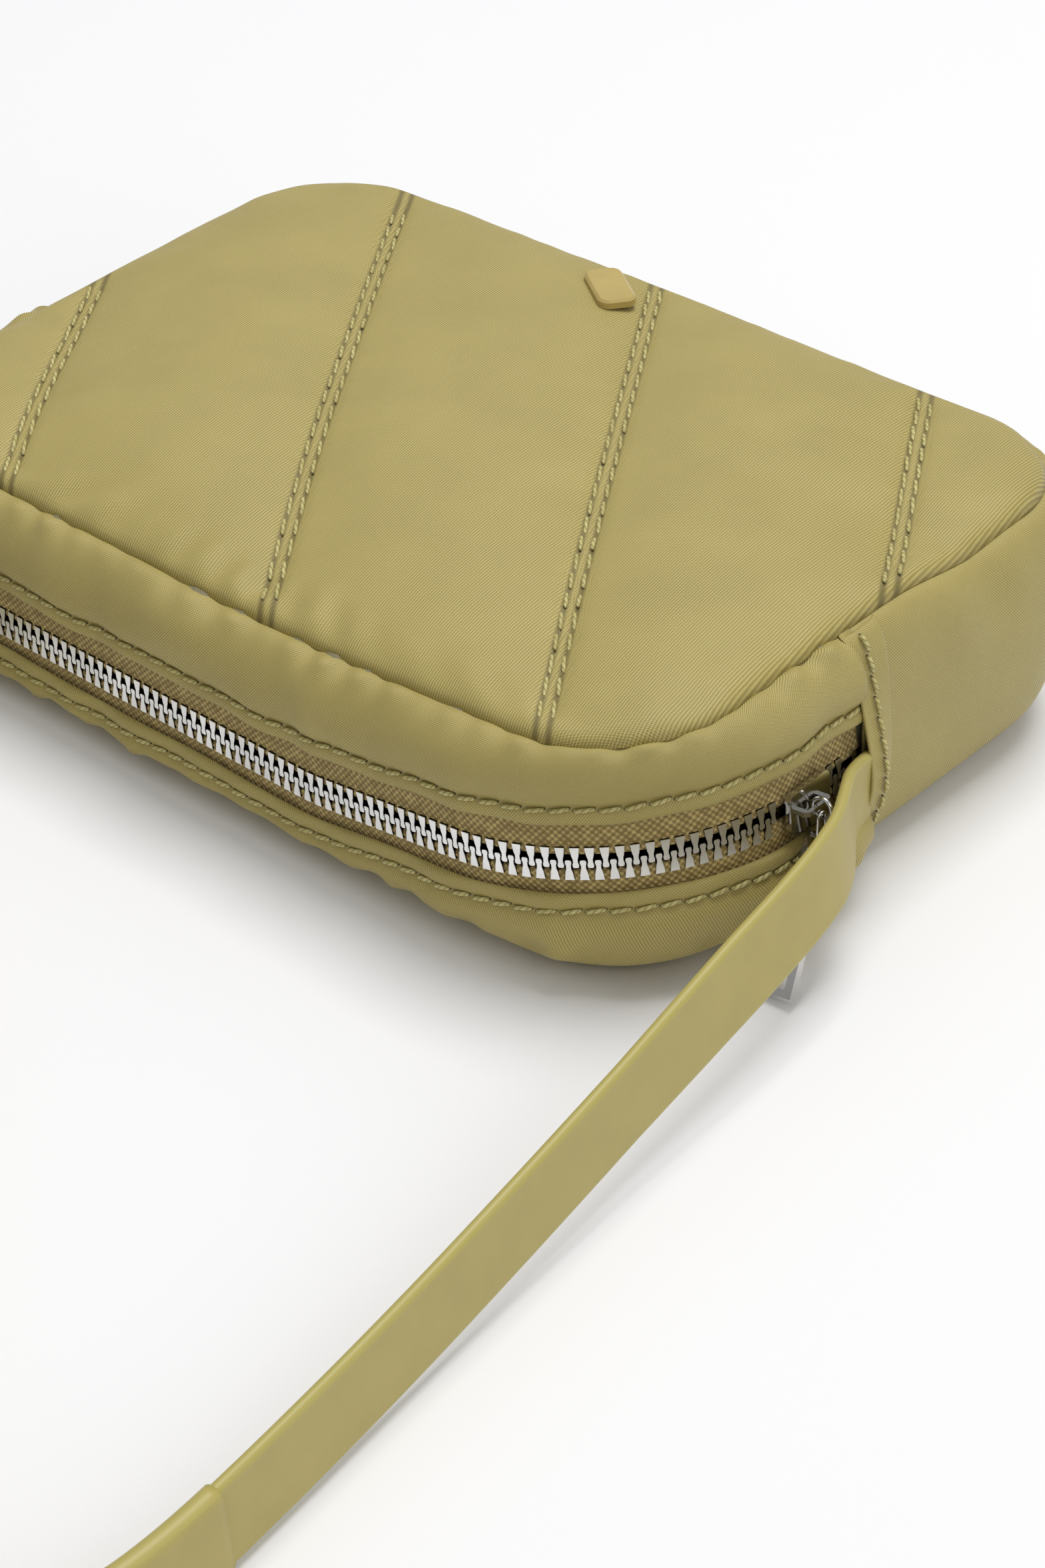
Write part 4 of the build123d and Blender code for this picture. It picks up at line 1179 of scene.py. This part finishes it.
def row_places(line, pitch):
    """Middles of the stitches along a line, one pitch apart, and the direction of the line there."""
    points, run = evenly(line, pitch / 8)
    ahead = unit(np.gradient(points, axis=0))
    at = np.arange(pitch * 0.6, run[-1] - pitch * 0.4, pitch)
    middles = np.stack([np.interp(at, run, column) for column in points.T], 1)
    along = unit(np.stack([np.interp(at, run, column) for column in ahead.T], 1))
    return middles, along


def grid_row(strip, row):
    """Line along one row of a grid and the grid's normals along it."""
    line = strip[row]
    across = strip[min(row + 3, len(strip) - 1)] - strip[max(row - 3, 0)]
    normal = unit(np.cross(np.gradient(line, axis=0), across))
    return line, normal


def from_middle(line):
    """Direction away from the middle of the purse."""
    return unit(line * [1, 1, 0])


def topstitch(name, strip, row, pitch):
    """Stitches along a row of a strip, on its side that looks away from the purse's middle."""
    line, normal = grid_row(strip, row)
    normal = np.where((normal * from_middle(line)).sum(-1, keepdims=True) < 0, -normal, normal)
    middles, ahead = row_places(line, pitch)
    nearest = np.array([np.argmin(((line - m) ** 2).sum(-1)) for m in middles])
    face = normal[nearest]
    stitches(name, middles + face * 0.55, ahead, face, pitch * 0.47, 0.44, slant=0.13)


topstitch("upper_topstitch", upper_facing, STITCH_ROW, 4.3)
topstitch("lower_topstitch", lower_facing, STITCH_ROW, 4.3)
for label, band in (("near", band_right), ("away", band_left)):
    column = 4 + int(np.argmin(abs(band_run - 2.9)))
    topstitch("end_stitch_" + label, band.transpose(1, 0, 2), column, 4.0)

cover_tree = BVHTree.FromPolygons([Vector(p) for p in panel.reshape(-1, 3)],
                                  quads(PANEL_ROWS, PANEL_COLS, False)[0].tolist())
for number, (start, stop) in enumerate(QUILT_LINES):
    start, stop = np.array(start), np.array(stop)
    ahead = unit(stop - start)
    side = np.array([ahead[1], -ahead[0]])
    for row_number, row_side in enumerate((-QUILT_ROWS, QUILT_ROWS)):
        line = np.linspace(start + side * row_side, stop + side * row_side, 60)
        inside = seam_distance(line[:, 0], line[:, 1]) > 0.9
        middles, way = row_places(np.column_stack([line[inside], np.zeros(inside.sum())]), QUILT_PITCH)
        hits = [cover_tree.ray_cast(Vector((m[0], m[1], 90.0)), Vector((0, 0, -1))) for m in middles]
        found = np.array([[*hit[0], *hit[1]] for hit in hits if hit[0] is not None])
        way = way[[hit[0] is not None for hit in hits]]
        normal = found[:, 3:] * np.sign(found[:, 5:6])
        way = unit(way - normal * (way * normal).sum(-1, keepdims=True))
        stitches(f"quilt_stitch_{number + 1}_{row_number + 1}", found[:, :3] + normal * 0.14, way, normal,
                 QUILT_PITCH * 0.46, 0.42, slant=0.09)


# ---- finishes of the hard parts ------------------------------------------------------------------------
def build_zip_depth(tree, start, end):
    """Distance of a point outwards from the zip's surface.

    It is the length of the three overshoots past the corner circles' middles (right, in the
    tilted plane; left; and towards the near side), less the corner radius.
    """
    split = tree.nodes.new("ShaderNodeSeparateXYZ")
    tree.links.new(start.outputs["Vector"], split.inputs[0])
    x, y, z = split.outputs
    core = (ZIP_HALF_X - ZIP_CORNER_R * np.cos(ZIP_TILT), ZIP_RIGHT_Z - ZIP_CORNER_R * np.sin(ZIP_TILT))
    past_x = maths(tree, "SUBTRACT", x, (core[0] + MID_X) * MM)
    past_z = maths(tree, "SUBTRACT", z, core[1] * MM)
    tilted = maths(tree, "ADD", maths(tree, "MULTIPLY", past_x, float(np.cos(ZIP_TILT))),
                   maths(tree, "MULTIPLY", past_z, float(np.sin(ZIP_TILT))))
    right = maths(tree, "MAXIMUM", tilted, 0.0)
    past_left = maths(tree, "SUBTRACT", (-(ZIP_HALF_X - ZIP_CORNER_R) + MID_X) * MM, x)
    left = maths(tree, "MAXIMUM", past_left, 0.0)
    near = maths(tree, "MAXIMUM", maths(tree, "SUBTRACT", -(ZIP_HALF_Y - ZIP_CORNER_R) * MM, y), 0.0)
    total = maths(tree, "MULTIPLY", near, near)
    for part in (right, left):
        total = maths(tree, "ADD", total, maths(tree, "MULTIPLY", part, part))
    depth = maths(tree, "SUBTRACT", maths(tree, "SQRT", total), ZIP_CORNER_R * MM)
    tree.links.new(depth, end.inputs["Depth"])


ZIP_DEPTH = node_group("zip_depth", [("Vector", "v", None)], [("Depth", "f")], build_zip_depth)


def teeth_finish():
    """Teeth with polished faces and black sides."""
    made = finish("polished_teeth", SPECKS, (0.70, 0.70, 0.69), (0.88, 0.88, 0.87), 0.34, 0.1, 0.00002,
                  coords="Object", metallic=1.0)
    tree = made.node_tree
    shader = tree.nodes["Principled BSDF"]
    bright = shader.inputs["Base Color"].links[0].from_socket
    place = tree.nodes.new("ShaderNodeTexCoord")
    depth = tree.nodes.new("ShaderNodeGroup")
    depth.node_tree = ZIP_DEPTH
    tree.links.new(place.outputs["Object"], depth.inputs["Vector"])
    tree.links.new(ramp(tree, depth.outputs["Depth"], 0.00088, 0.00104, (0.012, 0.012, 0.013), bright),
                   shader.inputs["Base Color"])
    return made


TEETH = teeth_finish()
HARD = {"zip_teeth_front": TEETH, "zip_teeth_back": TEETH, "zip_top_stops": NICKEL, "zip_bottom_stop": NICKEL,
        "slider_body": NICKEL, "slider_bridge": NICKEL, "pull_ring": NICKEL, "pull_link": NICKEL,
        "pull_frame": NICKEL, "badge_plate": BADGE, "badge_prongs": NICKEL, "badge_washers": NICKEL}
for node, material in HARD.items():
    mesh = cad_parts[node].data
    mesh.materials.clear()
    mesh.materials.append(material)
